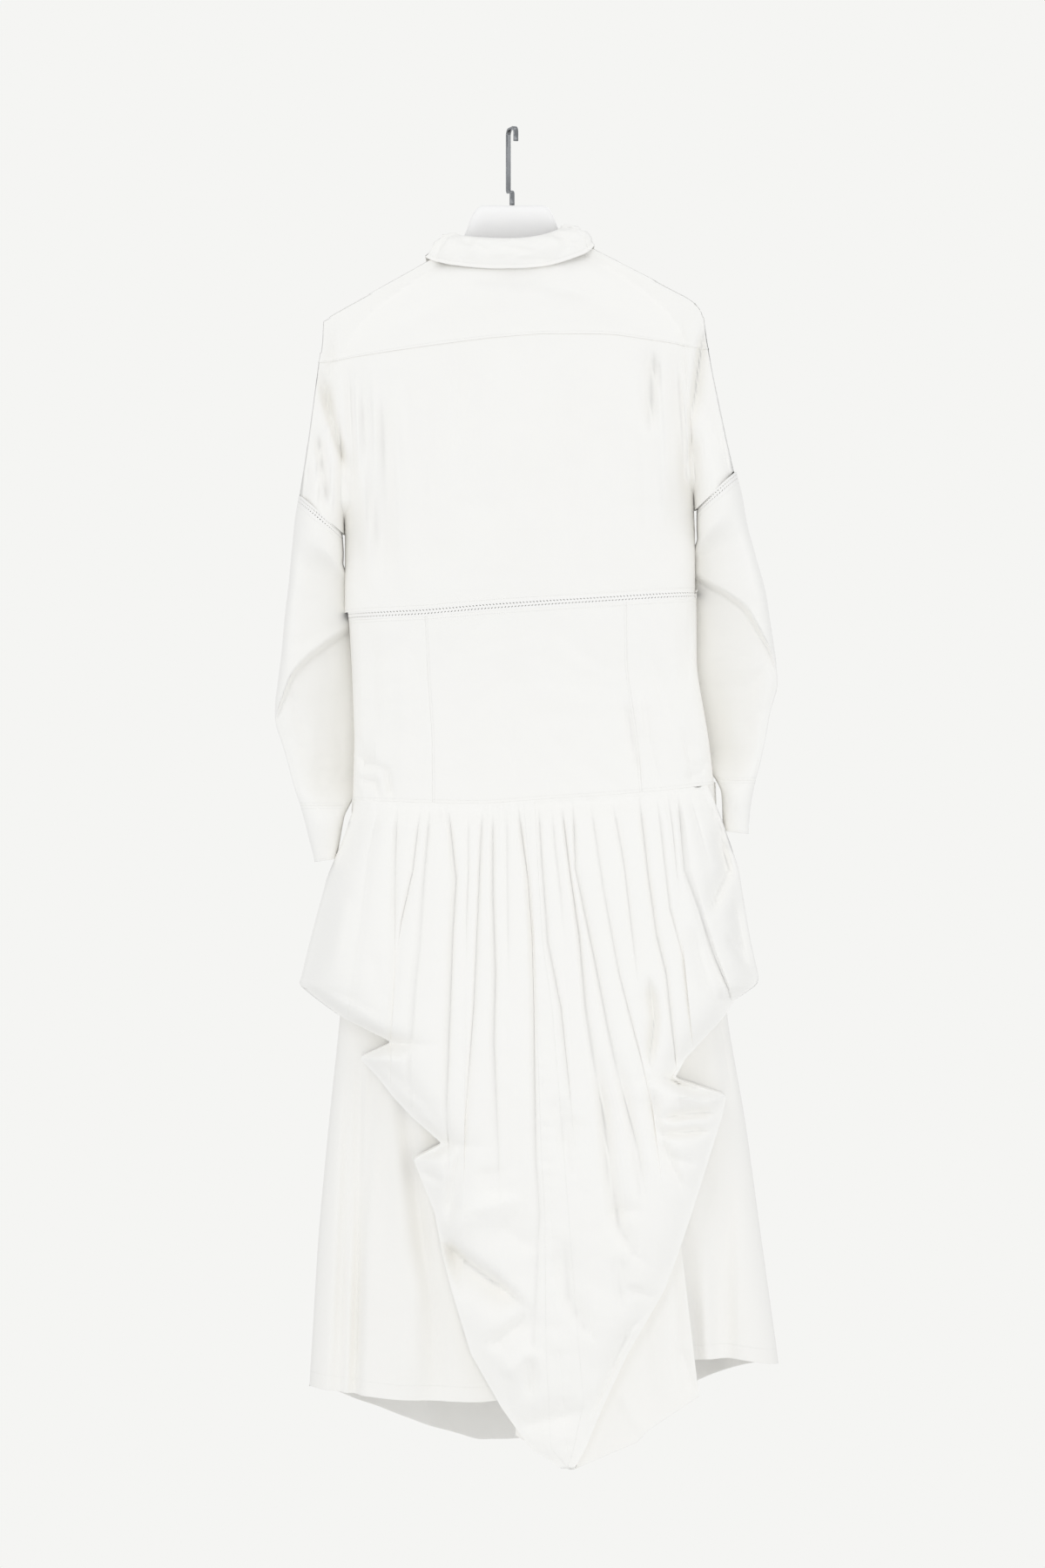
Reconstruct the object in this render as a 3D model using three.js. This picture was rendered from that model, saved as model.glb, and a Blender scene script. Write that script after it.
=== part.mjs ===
// A cotton shirt dress with a gathered, draped back overskirt, hanging on a broad-shouldered hanger.
// Millimetres, +Z up. The dress's back faces -Y and its front faces +Y. The origin is the underside
// of the hook's top, where it rests on what carries it.
import * as THREE from 'three';

// Driving dimensions.
const CLOTH = 1.4; // wall of a cloth piece
const SEAM = 0.3; // between two pieces that are sewn together
const EDGE = SEAM / 2; // from a side seam's plane to the cloth beside it
const BAND = 11; // height of the openwork insertions
const PLACKET = 28; // width of the front band
const BUTTON = 11; // diameter of a button

const WHITE = { color: 0xf7f7f4, roughness: 0.85, metalness: 0 };
const OPENWORK = { color: 0xefeee9, roughness: 0.9, metalness: 0 };
const SHELL = { color: 0xf5f5f2, roughness: 0.35, metalness: 0 };
const PLASTIC = { color: 0xf4f4f2, roughness: 0.5, metalness: 0 };
const STEEL = { color: 0xb9bcc0, roughness: 0.18, metalness: 1 };

const { abs, sign, sqrt, sin, cos, min, max, exp, PI } = Math;
const mix = (a, b, t) => a + (b - a) * t;
const clamp = (t) => min(1, max(0, t));
const ease = (a, b, at) => {
  const t = clamp((at - a) / (b - a));
  return t * t * (3 - 2 * t);
};
const steps = (count, shape = (t) => t) => Array.from({ length: count + 1 }, (_, i) => shape(i / count));
// Height of a unit dome at share t of its half width; a larger n is fuller.
const dome = (t, n) => (1 - min(1, abs(t)) ** n) ** (1 / n);

// A table's rows become objects, with one value for each named column.
const table = (names, rows) =>
  rows.map((row) => Object.fromEntries(names.map((name, i) => [name, row[i]])));

// Reads a column of a table at a value of the table's key, straight between two rows.
function read(rows, key, column, at) {
  const up = rows[rows.length - 1][key] > rows[0][key] ? 1 : -1;
  let i = 0;
  while (i < rows.length - 2 && (at - rows[i + 1][key]) * up > 0) i += 1;
  const [a, b] = [rows[i], rows[i + 1]];
  return mix(a[column], b[column], clamp((at - a[key]) / (b[key] - a[key])));
}

// Line on which the shoulders' back and front meet; at the neck it is only a guide.
const SHOULDER = table(['x', 'z'], [
  [-216, -222], [-200, -212], [-98, -154], [-73, -139], [0, -98],
  [69, -126], [97, -141], [170, -179], [200, -195], [212, -204], [218, -214], [222, -229],
]);
// Outer edge of the dropped shoulders, and the fold where each leaves the body.
const UPPER = table(['z', 'outL', 'foldL', 'foldR', 'outR'], [
  [-205, -216, -200, 195, 218], [-246, -218, -200, 197, 224], [-281, -223, -199, 200, 230],
  [-351, -233, -196, 205, 245], [-418, -244, -193, 208, 261], [-463, -252, -192, 210, 270],
]);
// Side edges and depths of the body down to the dropped waist.
const BODY = table(['z', 'left', 'right', 'back', 'front'], [
  [-150, -200, 195, 60, 64], [-262, -199, 199, 62, 66], [-370, -195, 206, 66, 70],
  [-463, -192, 210, 67, 70], [-553, -188, 212, 65, 68], [-620, -184, 212, 63, 67],
  [-700, -181, 226, 65, 68], [-772, -183, 234, 70, 72],
]);
// Side edges and depths of the underskirt.
const SKIRT = table(['z', 'left', 'right', 'back', 'front'], [
  [-756, -183, 234, 68, 71], [-850, -187, 236, 70, 78], [-1016, -197, 246, 74, 90],
  [-1138, -210, 268, 78, 100], [-1265, -222, 285, 82, 108], [-1415, -231, 306, 86, 116],
  [-1530, -238, 318, 88, 120],
]);
// Seam lines across the body: yoke, openwork band, dropped waist, and the hem's two halves.
const LINES = table(['x', 'yoke', 'band', 'waist'], [
  [-218, -270, -556, -768], [-183, -264, -554, -770], [-100, -253, -551, -773],
  [-28, -244, -545, -774], [32, -239, -541, -769], [112, -239, -536, -764],
  [182, -248, -531, -758], [234, -257, -528, -752],
]);
const HEM = table(['x', 'back', 'front'], [
  [-238, -1440, -1440], [-190, -1444, -1462], [-130, -1449, -1490], [-40, -1450, -1522],
  [60, -1440, -1516], [130, -1425, -1492], [200, -1404, -1456], [250, -1404, -1432], [307, -1416, -1416],
]);
const NECK = { x: -2.5, half: 71.5, back: -161, front: -205 };
const ROUND = 70; // over this height the shoulders round out to the body's depth
// Each armpit, and the height at which the dropped shoulder's outer edge meets the sleeve.
const ARMPIT = {
  left: { x: -192, z: -463, outX: -244, outZ: -418 },
  right: { x: 210, z: -434, outX: 261, outZ: -391 },
};
const ARMPIT_Z = -430; // a height near both armpits
const BAND_Z = -553; // a height inside the openwork band
const WAIST_Z = -772;
const HEM_Z = -1415;
const CAP_TOP = -240; // below this the fold beside the dropped shoulder starts
const CAP_DEPTH = 62; // half depth of the sleeve where it joins the dropped shoulder
const FOLD_FLOOR = CLOTH + EDGE + 0.3; // least half depth at the bottom of that fold

// Rows of both sleeves: outer and inner edge, and how far the cloth reaches to the back and front.
const SLEEVE = {
  left: table(['z', 'out', 'in', 'back', 'front', 'tilt'], [
    [-441, -244, -195, 60, 60, -0.88], [-466, -248, -194, 60, 60, -0.8],
    [-500, -253, -195, 58, 60, -0.5], [-551, -260, -209, 54, 62, -0.2], [-600, -265, -207, 50, 66, 0],
    [-630, -268, -198, 46, 68, 0], [-655, -271, -193, 40, 70, 0], [-686, -271, -190, 36, 72, 0],
    [-721, -260, -189, 32, 74, 0], [-751, -252, -189, 30, 76, 0], [-776, -243, -190, 26, 78, 0],
    [-812, -234, -196, 20, 80, 0.1], [-839, -226, -202, 14, 82, 0.15],
  ]),
  right: table(['z', 'out', 'in', 'back', 'front', 'tilt'], [
    [-413, 257, 212, 60, 60, 0.9], [-440, 264, 212, 60, 60, 0.8],
    [-475, 272, 213, 58, 60, 0.5], [-541, 291, 222, 54, 62, 0.2], [-572, 297, 226, 50, 66, 0],
    [-605, 302, 227, 46, 68, 0], [-638, 306, 230, 40, 70, 0], [-664, 299, 232, 36, 72, 0],
    [-700, 290, 235, 32, 74, 0], [-724, 285, 238, 30, 76, 0], [-747, 279, 240, 26, 78, 0],
    [-780, 273, 242, 20, 80, -0.1], [-807, 270.5, 243.5, 14, 82, -0.13],
  ]),
};
const CUFF_TOP = { left: -776, right: -747 };
// Crease across each elbow: it starts at the inner edge and ends at the outer one.
const ELBOW = {
  left: { inX: -205, inZ: -560, outX: -271, outZ: -680, step: 12 },
  right: { inX: 222, inZ: -520, outX: 306, outZ: -640, step: 12 },
};

// Overskirt: its edges, its depth along the middle, and the depth of its two edges.
const DRAPE = table(['z', 'left', 'right', 'mid', 'edgeL', 'edgeR'], [
  [-772, -168, 207, 72, 34, 40], [-786, -175, 214, 80, 22, 34], [-813, -189, 235, 92, 12, 20],
  [-860, -212, 260, 108, 4, 8], [-925, -230, 272, 122, 2, 4], [-974, -242, 283, 130, 2, 6],
  [-981, -245, 280, 132, 4, 20], [-997, -223, 253, 134, 24, 46], [-1016, -193, 240, 137, 52, 56],
  [-1043, -135, 214, 140, 80, 74], [-1061, -173, 196, 142, 66, 86], [-1083, -151, 183, 144, 76, 96],
  [-1104, -134, 243, 146, 86, 66], [-1126, -113, 238, 147, 92, 74], [-1156, -78, 228, 148, 100, 84],
  [-1174, -111, 222, 148, 90, 90], [-1233, -87, 203, 146, 98, 98], [-1280, -78, 187, 144, 103, 102],
  [-1320, -68, 172, 141, 104, 104], [-1392, -46, 130, 134, 106, 107], [-1452, -12, 102, 124, 106, 107],
  [-1500, 22, 82, 116, 107, 108], [-1522, 58, 70, 112, 108, 109],
]);
// Gathers at the dropped waist: where each starts and where it has spread to, with its depth,
// half width, and how far down it runs.
const SPREAD_AT = -1011; // the height of the column "low"
const GATHERS = table(['top', 'low', 'depth', 'wide', 'reach'], [
  [-150, -187, 7, 6, 230], [-132, -163, 5, 5, 200], [-104, -140, 9, 7, 290], [-95, -114, 6, 5, 330],
  [-75, -90, 6, 6, 240], [-62, -70, 8, 6, 400], [-40, -46, 6, 6, 230], [-23, -22, 8, 7, 300],
  [-8, -6, 5, 5, 170], [13, 18, 6, 5, 260], [31, 40, 8, 6, 380], [45, 60, 5, 5, 200],
  [59, 91, 9, 7, 420], [71, 108, 6, 6, 330], [93, 127, 8, 7, 300], [117, 146, 6, 6, 260],
  [130, 162, 10, 8, 380], [148, 182, 6, 6, 200], [170, 208, 6, 6, 170], [192, 236, 7, 7, 210],
]);
// The drape's largest folds, from one point to another.
const FOLDS = table(['x0', 'z0', 'x1', 'z1', 'depth', 'wide'], [
  [-133, -1046, -60, -1120, 10, 12], [-76, -1161, -10, -1230, 9, 12], [-77, -1283, 12, -1350, 16, 11],
  [12, -1350, -40, -1260, 6, 12], [182, -1083, 152, -1160, 14, 14], [235, -1110, 185, -1130, 7, 9],
  [150, -970, 158, -1090, 10, 10], [150, -1330, 60, -1250, 8, 14], [-20, -1440, 40, -1400, 7, 14],
]);
const CENTRE_SEAM = table(['z', 'x'], [
  [-772, 20], [-891, 24], [-1051, 33], [-1238, 44], [-1362, 51], [-1522, 64],
]);
// Underlayer of the drape: its two edges by height, and the lower edge across.
const UNDERLAYER = table(['x', 'low', 'depth'], [
  [-88, -1440, 93], [-60, -1452, 94], [-39, -1464, 95], [-5, -1480, 96], [30, -1500, 98], [66, -1524, 103],
  [110, -1506, 98], [143, -1492, 97], [150, -1482, 97], [180, -1462, 95], [211, -1442, 92],
]);
const UNDERLAYER_TOP = -1270;
const UNDERLAYER_OUT = 1.25; // brings it against the inside of the drape, where it is caught
// Soft folds of the underskirt: place across at the hem, depth, half width, and which side.
const FLUTES = table(['x', 'depth', 'wide', 'side', 'from'], [
  [-196, 9, 9, -1, -950], [-178, 12, 7, -1, -980], [-90, 6, 20, -1, -1000], [244, 8, 16, -1, -980],
  [212, 5, 10, -1, -1100], [-180, 10, 18, 1, -900], [-95, 12, 22, 1, -860], [0, 10, 22, 1, -900],
  [90, 13, 24, 1, -860], [180, 11, 20, 1, -900], [250, 8, 14, 1, -950],
]);

// Heights of the overskirt's rows; they are closest where its edges fold.
const ROW_Z = [-774.5, -786, -806, -840, -885, -925, -974, -997, -1016, -1043, -1061,
  -1104, -1126, -1156, -1174, -1233, -1280, -1340, -1400, -1452, -1500, -1520];
const DRAPE_CLEAR = 5; // from the underskirt's outer face to the drape's

// The collar's rings are the neckline's plan, drawn in or let out across, to the back and to the front.
const COLLAR = {
  fold: { across: 0.88, back: 0.9, front: 1.02, z: { back: -131, left: -122, right: -112, front: -166 } },
  low: { across: 1.34, back: 1.14, front: 1.24, z: { back: -168, left: -150, right: -137, front: -212 } },
  standIn: 4.5, // the stand lies inside the fold by this
  end: 2.93, // the angle from the centre back at which the fall's front edges start
  point: { x: 58, y: 88, z: -244 },
  clear: 2.8, // from the cloth under the fall to its outer face
  roll: 6, // how far the fall bows out between its fold and its edge
  lift: 1.5, // from the stand's top to the fold
};

// Rows of the hanger along its length: its top, its underside and its half depth.
const HANGER = table(['x', 'top', 'bottom', 'deep'], [
  [-204, -225, -240, 6], [-200, -221, -248, 12], [-188, -212.2, -250, 18], [-160, -195.2, -240, 22],
  [-120, -170.6, -222, 21], [-80, -149.2, -202, 17], [-62, -136.2, -190, 15], [-52, -115.5, -184, 14],
  [-47, -100, -180, 14], [-40, -90, -177, 14], [-34, -87, -175, 14], [0, -87, -172, 14],
  [36, -87, -172, 14], [41, -89, -173, 14], [47, -98, -176, 14], [52, -111.5, -180, 14], [60, -127.2, -185, 15],
  [80, -137.5, -195, 18], [120, -157.2, -212, 22], [160, -179.2, -230, 24], [190, -197.8, -240, 22],
  [202, -208.2, -240, 16], [207, -216.2, -234, 8],
]);
// The hook is a flat bar bent in one plane, which is turned a little about the upright.
const HOOK = { wide: 5.5, thick: 3, yaw: 0.3, inside: 13.2, corner: 7, tip: -15, foot: -86.7 };

// Cloth and other walls.

// A closed wall from a grid of points on its outer face. Rows run down and columns run to the right,
// as seen from outside; a ring's last column joins its first. cloth says which cells are cloth, and
// keep which of them belong to this piece. A back or front piece stays on its side of the seams.
// seam is a column that faces the same way as the next one, across a seam's sliver.
const always = () => true;
function wall(points, options = {}) {
  const { ring = false, thickness = CLOTH, cloth = always, keep = always, side = 0, seam } = options;
  const rows = points.length;
  const cols = points[0].length;
  const at = (i, j) => i * cols + (j % cols);
  const flat = points.flat();
  const normals = flat.map(() => new THREE.Vector3());
  const faces = [];
  const facing = new THREE.Vector3();
  const edge = new THREE.Vector3();
  for (let i = 0; i < rows - 1; i += 1) {
    for (let j = 0; j < (ring ? cols : cols - 1); j += 1) {
      if (!cloth(i, j)) continue;
      const [a, b, c, d] = [at(i, j), at(i + 1, j), at(i + 1, j + 1), at(i, j + 1)];
      for (const [p, q, r] of [[a, b, c], [a, c, d]]) {
        facing.subVectors(flat[q], flat[p]).cross(edge.subVectors(flat[r], flat[p]));
        for (const v of [p, q, r]) normals[v].add(facing);
        if (keep(i, j)) faces.push([p, q, r]);
      }
    }
  }
  for (let i = 0; seam && i < rows; i += 1) {
    const [a, b] = [normals[at(i, seam)], normals[at(i, seam + 1)]];
    b.copy(a.add(b));
  }
  const links = new Map();
  for (const [a, b, c] of faces) {
    for (const [p, q] of [[a, b], [b, c], [c, a]]) {
      if (!links.delete(`${q},${p}`)) links.set(`${p},${q}`, [p, q]);
    }
  }
  const place = new Map();
  const xyz = [];
  const vertex = (v, inner) => {
    const key = 2 * v + inner;
    if (!place.has(key)) {
      place.set(key, xyz.length / 3);
      const p = flat[v].clone();
      if (inner) p.addScaledVector(normals[v].normalize(), -thickness);
      if (side) p.y = side * max(EDGE, side * p.y);
      xyz.push(p.x, p.y, p.z);
    }
    return place.get(key);
  };
  const index = [];
  for (const [a, b, c] of faces) {
    index.push(vertex(a, 0), vertex(b, 0), vertex(c, 0));
    index.push(vertex(a, 1), vertex(c, 1), vertex(b, 1));
  }
  for (const [p, q] of links.values()) {
    index.push(vertex(q, 0), vertex(p, 0), vertex(p, 1));
    index.push(vertex(q, 0), vertex(p, 1), vertex(q, 1));
  }
  const geometry = new THREE.BufferGeometry();
  geometry.setAttribute('position', new THREE.Float32BufferAttribute(xyz, 3));
  geometry.setIndex(index);
  geometry.computeVertexNormals();
  return geometry;
}

// The solid between closed sections of equal point counts, with flat ends.
function loft(sections) {
  const n = sections[0].length;
  const xyz = sections.flat().flatMap((p) => [p.x, p.y, p.z]);
  const index = [];
  for (let i = 0; i < sections.length - 1; i += 1) {
    for (let j = 0; j < n; j += 1) {
      const [a, b] = [i * n + j, i * n + ((j + 1) % n)];
      index.push(a, b, b + n, a, b + n, a + n);
    }
  }
  const last = (sections.length - 1) * n;
  for (let j = 1; j < n - 1; j += 1) {
    index.push(0, j + 1, j);
    index.push(last, last + j, last + j + 1);
  }
  const geometry = new THREE.BufferGeometry();
  geometry.setAttribute('position', new THREE.Float32BufferAttribute(xyz, 3));
  geometry.setIndex(index);
  geometry.computeVertexNormals();
  return geometry;
}

const group = new THREE.Group();
function piece(name, geometry, look) {
  const mesh = new THREE.Mesh(geometry, new THREE.MeshStandardMaterial(look));
  mesh.name = name;
  group.add(mesh);
  return mesh;
}

// The body's surface. side is -1 for the back and 1 for the front.

const upperAt = (column, z) => read(UPPER, 'z', column, z);
const bodyAt = (column, z) => read(BODY, 'z', column, z);
const lineAt = (column, x) => read(LINES, 'x', column, x);
const shoulderAt = (x) => read(SHOULDER, 'x', 'z', x);
const FRONT_SPLIT = 0.495; // the centre front's share of the way across the body
const centreFront = (z) => mix(bodyAt('left', z), bodyAt('right', z), FRONT_SPLIT);

function across(x, left, right) {
  return (x - (left + right) / 2) / ((right - left) / 2);
}

// Half depth of the upper body: one dome at the shoulders, which parts into three, for the body and
// the two dropped shoulders, towards the armpits.
function upperDepth(side, x, z) {
  const [outL, foldL, foldR, outR] = ['outL', 'foldL', 'foldR', 'outR'].map((c) => upperAt(c, z));
  const deep = bodyAt(side < 0 ? 'back' : 'front', z);
  const armpit = x < 0 ? ARMPIT.left.z : ARMPIT.right.z;
  const open = ease(CAP_TOP, armpit, z);
  const whole = deep * dome(across(x, outL, outR), 2.4);
  let parted = deep * dome(across(x, foldL, foldR), 2.6);
  if (x < foldL) parted = CAP_DEPTH * dome(across(x, outL, foldL), 2);
  if (x > foldR) parted = CAP_DEPTH * dome(across(x, foldR, outR), 2);
  const below = clamp((shoulderAt(x) - z) / ROUND);
  const rounded = sqrt(1 - (1 - below) ** 2);
  const least = mix(FOLD_FLOOR, EDGE, ease(armpit - 4, armpit - 40, z));
  const inside = x > outL + 1 && x < outR - 1 && below > 0.02;
  return max(inside ? least : EDGE, mix(whole, parted, open) * rounded);
}

// Half depth of the body below the openwork band.
function lowerDepth(side, x, z) {
  const [left, right] = [bodyAt('left', z), bodyAt('right', z)];
  return max(EDGE, bodyAt(side < 0 ? 'back' : 'front', z) * dome(across(x, left, right), 2.6));
}

// Neckline at an angle from the centre back, in radians; it is on the back or the front panel.
function neckline(angle) {
  const x = NECK.x + NECK.half * sin(angle);
  const ends = shoulderAt(NECK.x + NECK.half * sign(sin(angle) || 1));
  const back = cos(angle) > 0;
  const low = back ? NECK.back : NECK.front;
  const z = low + (ends - low) * (1 - abs(cos(angle)));
  return { x, z, y: (back ? -1 : 1) * upperDepth(back ? -1 : 1, x, z) };
}

// Columns of the upper panels, left to right: dropped shoulder, shoulder, neck, shoulder and dropped
// shoulder. Each knows its top and how its place across changes with height.
const CAP_COLS = 6;
const SHOULDER_COLS = 5;
const NECK_COLS = 10;
const settle = (t) => (1 - cos(PI * t)) / 2; // closer together at both ends
const settleIn = (t) => 1 - cos((PI / 2) * t); // closer together at the start

function upperColumns(side) {
  const { outL, foldL, foldR, outR } = UPPER[0];
  const columns = [];
  const add = (nominal, x) => columns.push({ nominal, x });
  for (const t of steps(CAP_COLS, settle).slice(0, -1)) {
    add(mix(outL, foldL, t), (z) => mix(upperAt('outL', z), upperAt('foldL', z), t));
  }
  const neckSpan = (x) => {
    const share = (x - foldL) / (foldR - foldL);
    add(x, (z) => mix(upperAt('foldL', z), upperAt('foldR', z), share));
  };
  const [neckL, neckR] = [NECK.x - NECK.half, NECK.x + NECK.half];
  for (const t of steps(SHOULDER_COLS, settleIn).slice(0, -1)) neckSpan(mix(foldL, neckL, t));
  for (const t of steps(NECK_COLS)) neckSpan(NECK.x - NECK.half * cos(PI * t));
  for (const t of steps(SHOULDER_COLS, settleIn).reverse().slice(1)) neckSpan(mix(foldR, neckR, t));
  for (const t of steps(CAP_COLS, settle).slice(1)) {
    add(mix(foldR, outR, t), (z) => mix(upperAt('foldR', z), upperAt('outR', z), t));
  }
  return columns.map((column) => {
    const share = (column.nominal - NECK.x) / NECK.half;
    const turn = Math.asin(min(1, max(-1, share)));
    const angle = side < 0 ? turn : PI - turn;
    const top = abs(share) < 0.999 ? neckline(angle).z : shoulderAt(column.nominal);
    return { ...column, top };
  });
}

// Height at which a column of the upper panel leaves the dropped shoulder or passes the armpit.
function capEnd(x) {
  const { left, right } = ARMPIT;
  if (x < left.x) return mix(left.outZ, left.z, clamp((x - left.outX) / (left.x - left.outX)));
  if (x > right.x) return mix(right.z, right.outZ, clamp((x - right.x) / (right.outX - right.x)));
  return mix(left.z, right.z, (x - left.x) / (right.x - left.x));
}

const BODY_FIRST = CAP_COLS;
const BODY_LAST = CAP_COLS + 2 * SHOULDER_COLS + NECK_COLS;

// Grid of an upper panel: shares down from its top line to the armpits' height and then to the band.
function upperGrid(side, downTo, belowTo, fromLine, columns) {
  const point = (column, z) => {
    const x = column.x(z);
    return new THREE.Vector3(x, side * upperDepth(side, x, z), z);
  };
  const rows = [];
  for (const t of downTo) {
    rows.push(columns.map((column) =>
      point(column, mix(fromLine(column), capEnd(column.x(ARMPIT_Z)), t))));
  }
  for (const t of belowTo) {
    rows.push(columns.map((column) => {
      const end = capEnd(column.x(ARMPIT_Z));
      const band = lineAt('band', column.x(BAND_Z)) + SEAM;
      return point(column, mix(end, band, t));
    }));
  }
  return rows;
}

// Turns a grid made left to right into one that runs to the right as seen from the front.
const facing = (side, grid) => (side < 0 ? grid : grid.map((row) => [...row].reverse()));

const bodyCells = (first, last, capRows) => (i, j) => i < capRows || (j >= first && j < last);

function upperBody() {
  const back = upperColumns(-1);
  const yokeSeam = (column) => lineAt('yoke', column.nominal);
  const yoke = steps(6, (t) => t ** 1.8).map((t) =>
    back.map((column) => {
      const z = mix(column.top, yokeSeam(column) + SEAM, t);
      const x = column.x(z);
      return new THREE.Vector3(x, -upperDepth(-1, x, z), z);
    }));
  piece('back_yoke', wall(yoke, { side: -1 }), WHITE);

  const CAP_ROWS = 6;
  const panel = upperGrid(-1, steps(CAP_ROWS), steps(4).slice(1), (c) => yokeSeam(c) - EDGE, back);
  piece('back_upper', wall(panel, { side: -1, cloth: bodyCells(BODY_FIRST, BODY_LAST, CAP_ROWS) }), WHITE);

  const front = upperColumns(1);
  const FRONT_ROWS = 9;
  const grid = upperGrid(1, steps(FRONT_ROWS, (t) => t ** 1.5), steps(4).slice(1), (c) => c.top, front);
  const middle = CAP_COLS + SHOULDER_COLS + NECK_COLS / 2;
  const shift = (point, by) => point.clone().setX(point.x + by);
  const split = facing(1, grid.map((row) => [
    ...row.slice(0, middle), shift(row[middle], -EDGE), shift(row[middle], EDGE), ...row.slice(middle + 1),
  ]));
  const count = split[0].length - 1;
  const cloth = bodyCells(count - BODY_LAST - 1, count - BODY_FIRST, FRONT_ROWS);
  const join = count - 1 - middle;
  piece('front_upper_left', wall(split, { side: 1, cloth, keep: (i, j) => j > join }), WHITE);
  piece('front_upper_right', wall(split, { side: 1, cloth, keep: (i, j) => j < join }), WHITE);
}

// Places across the body's edges at the openwork band and at the dropped waist.
const atBand = (share) => mix(bodyAt('left', BAND_Z), bodyAt('right', BAND_Z), share);
const atWaist = (share) => mix(bodyAt('left', WAIST_Z), bodyAt('right', WAIST_Z), share);
const bandTop = (share) => lineAt('band', atBand(share));
const bandEnd = (share) => bandTop(share) - BAND;

// Grid over the back or front of the lower body, between two heights given for shares across.
function lowerGrid(side, shares, top, bottom, rows) {
  return facing(side, steps(rows).map((down) =>
    shares.map((share) => {
      const z = mix(top(share), bottom(share), down);
      const x = mix(bodyAt('left', z), bodyAt('right', z), share);
      return new THREE.Vector3(x, side * lowerDepth(side, x, z), z);
    })));
}

// Splits a row of shares at seams, each seam a sliver between two columns.
function withSeams(seams, cols) {
  const half = EDGE / (bodyAt('right', BAND_Z) - bodyAt('left', BAND_Z));
  const angle = (share) => Math.acos(1 - 2 * share) / PI;
  const ends = [0, ...seams, 1];
  return ends.slice(1).flatMap((end, i) => {
    const [from, to] = [ends[i] + (i ? half : 0), end - (i < seams.length ? half : 0)];
    return steps(cols[i]).map((t) => settle(mix(angle(from), angle(to), t)));
  });
}

function lowerBody() {
  const round = steps(26, settle);
  for (const [side, name] of [[-1, 'back'], [1, 'front']]) {
    const band = lowerGrid(side, round, bandTop, bandEnd, 1);
    piece(`openwork_${name}`, wall(band, { side }), OPENWORK);
  }
  const top = (share) => bandEnd(share) - SEAM;
  const waist = (share) => lineAt('waist', atWaist(share)) + EDGE;
  const backCols = [8, 10, 7];
  const back = lowerGrid(-1, withSeams([0.2225, 0.795], backCols), top, waist, 5);
  let first = 0;
  ['left', 'centre', 'right'].forEach((name, i) => {
    const [from, to] = [first, first + backCols[i]];
    piece(`lower_back_${name}`, wall(back, { side: -1, keep: (_, j) => j >= from && j < to }), WHITE);
    first = to + 1;
  });
  const frontCols = [12, 12];
  const front = lowerGrid(1, withSeams([FRONT_SPLIT], frontCols), top, waist, 5);
  piece('lower_front_right', wall(front, { side: 1, keep: (_, j) => j < frontCols[1] }), WHITE);
  piece('lower_front_left', wall(front, { side: 1, keep: (_, j) => j > frontCols[1] }), WHITE);
}

// A point on the front, moved out of the cloth by a distance.
function onFront(x, z, out) {
  const depth = (u, w) => (w > BAND_Z ? upperDepth(1, u, w) : lowerDepth(1, u, w));
  const d = 2;
  const slope = (depth(x, z + d) - depth(x, z - d)) / (2 * d);
  const turn = (depth(x + d, z) - depth(x - d, z)) / (2 * d);
  const normal = new THREE.Vector3(-turn, 1, -slope).normalize();
  return { point: new THREE.Vector3(x, depth(x, z), z).addScaledVector(normal, out), normal };
}

const PLACKET_TOP = NECK.front - 3;
const FRONT_BUTTONS = 9;

function placket() {
  const heights = steps(14).map((t) => mix(PLACKET_TOP, WAIST_Z + 2, t));
  const grid = heights.map((z) =>
    steps(4).map((t) => onFront(centreFront(z) + PLACKET * (0.5 - t), z, SEAM + CLOTH).point));
  piece('placket', wall(grid), WHITE);
  for (let i = 0; i < FRONT_BUTTONS; i += 1) {
    const z = mix(PLACKET_TOP - 34, WAIST_Z + 27, i / (FRONT_BUTTONS - 1));
    const { point, normal } = onFront(centreFront(z), z, SEAM + CLOTH + SEAM);
    button(`button_front_${i + 1}`, point, normal);
  }
}

// A round button with a raised rim; its foot is at a point, and it faces along a direction.
function button(name, foot, normal) {
  const [r, h, rim] = [BUTTON / 2, 2, 1.2];
  const profile = [[0, 0], [r - 0.6, 0], [r, h], [r - rim, h], [r - rim - 0.8, h - 0.6], [0, h - 0.7]];
  const geometry = new THREE.LatheGeometry(profile.map(([x, y]) => new THREE.Vector2(x, y)), 9);
  const mesh = piece(name, geometry, SHELL);
  mesh.quaternion.setFromUnitVectors(new THREE.Vector3(0, 1, 0), normal);
  mesh.position.copy(foot);
}

// Collar.

// Height of a ring at an angle, from its values at the back, the two sides and the front.
function ringZ({ back, left, right, front }, angle) {
  const side = sin(angle) < 0 ? left : right;
  const end = cos(angle) > 0 ? back : front;
  return mix(side, end, abs(cos(angle)) ** 1.3);
}

function collarRing(angle, ring, inner = 0) {
  const plan = neckline(angle);
  const reach = plan.y < 0 ? ring.back : ring.front;
  const p = new THREE.Vector3((plan.x - NECK.x) * ring.across, plan.y * reach, 0);
  const length = sqrt(p.x * p.x + p.y * p.y);
  p.multiplyScalar((length - inner) / length);
  return new THREE.Vector3(NECK.x + p.x, p.y, ringZ(ring.z, angle));
}

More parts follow.
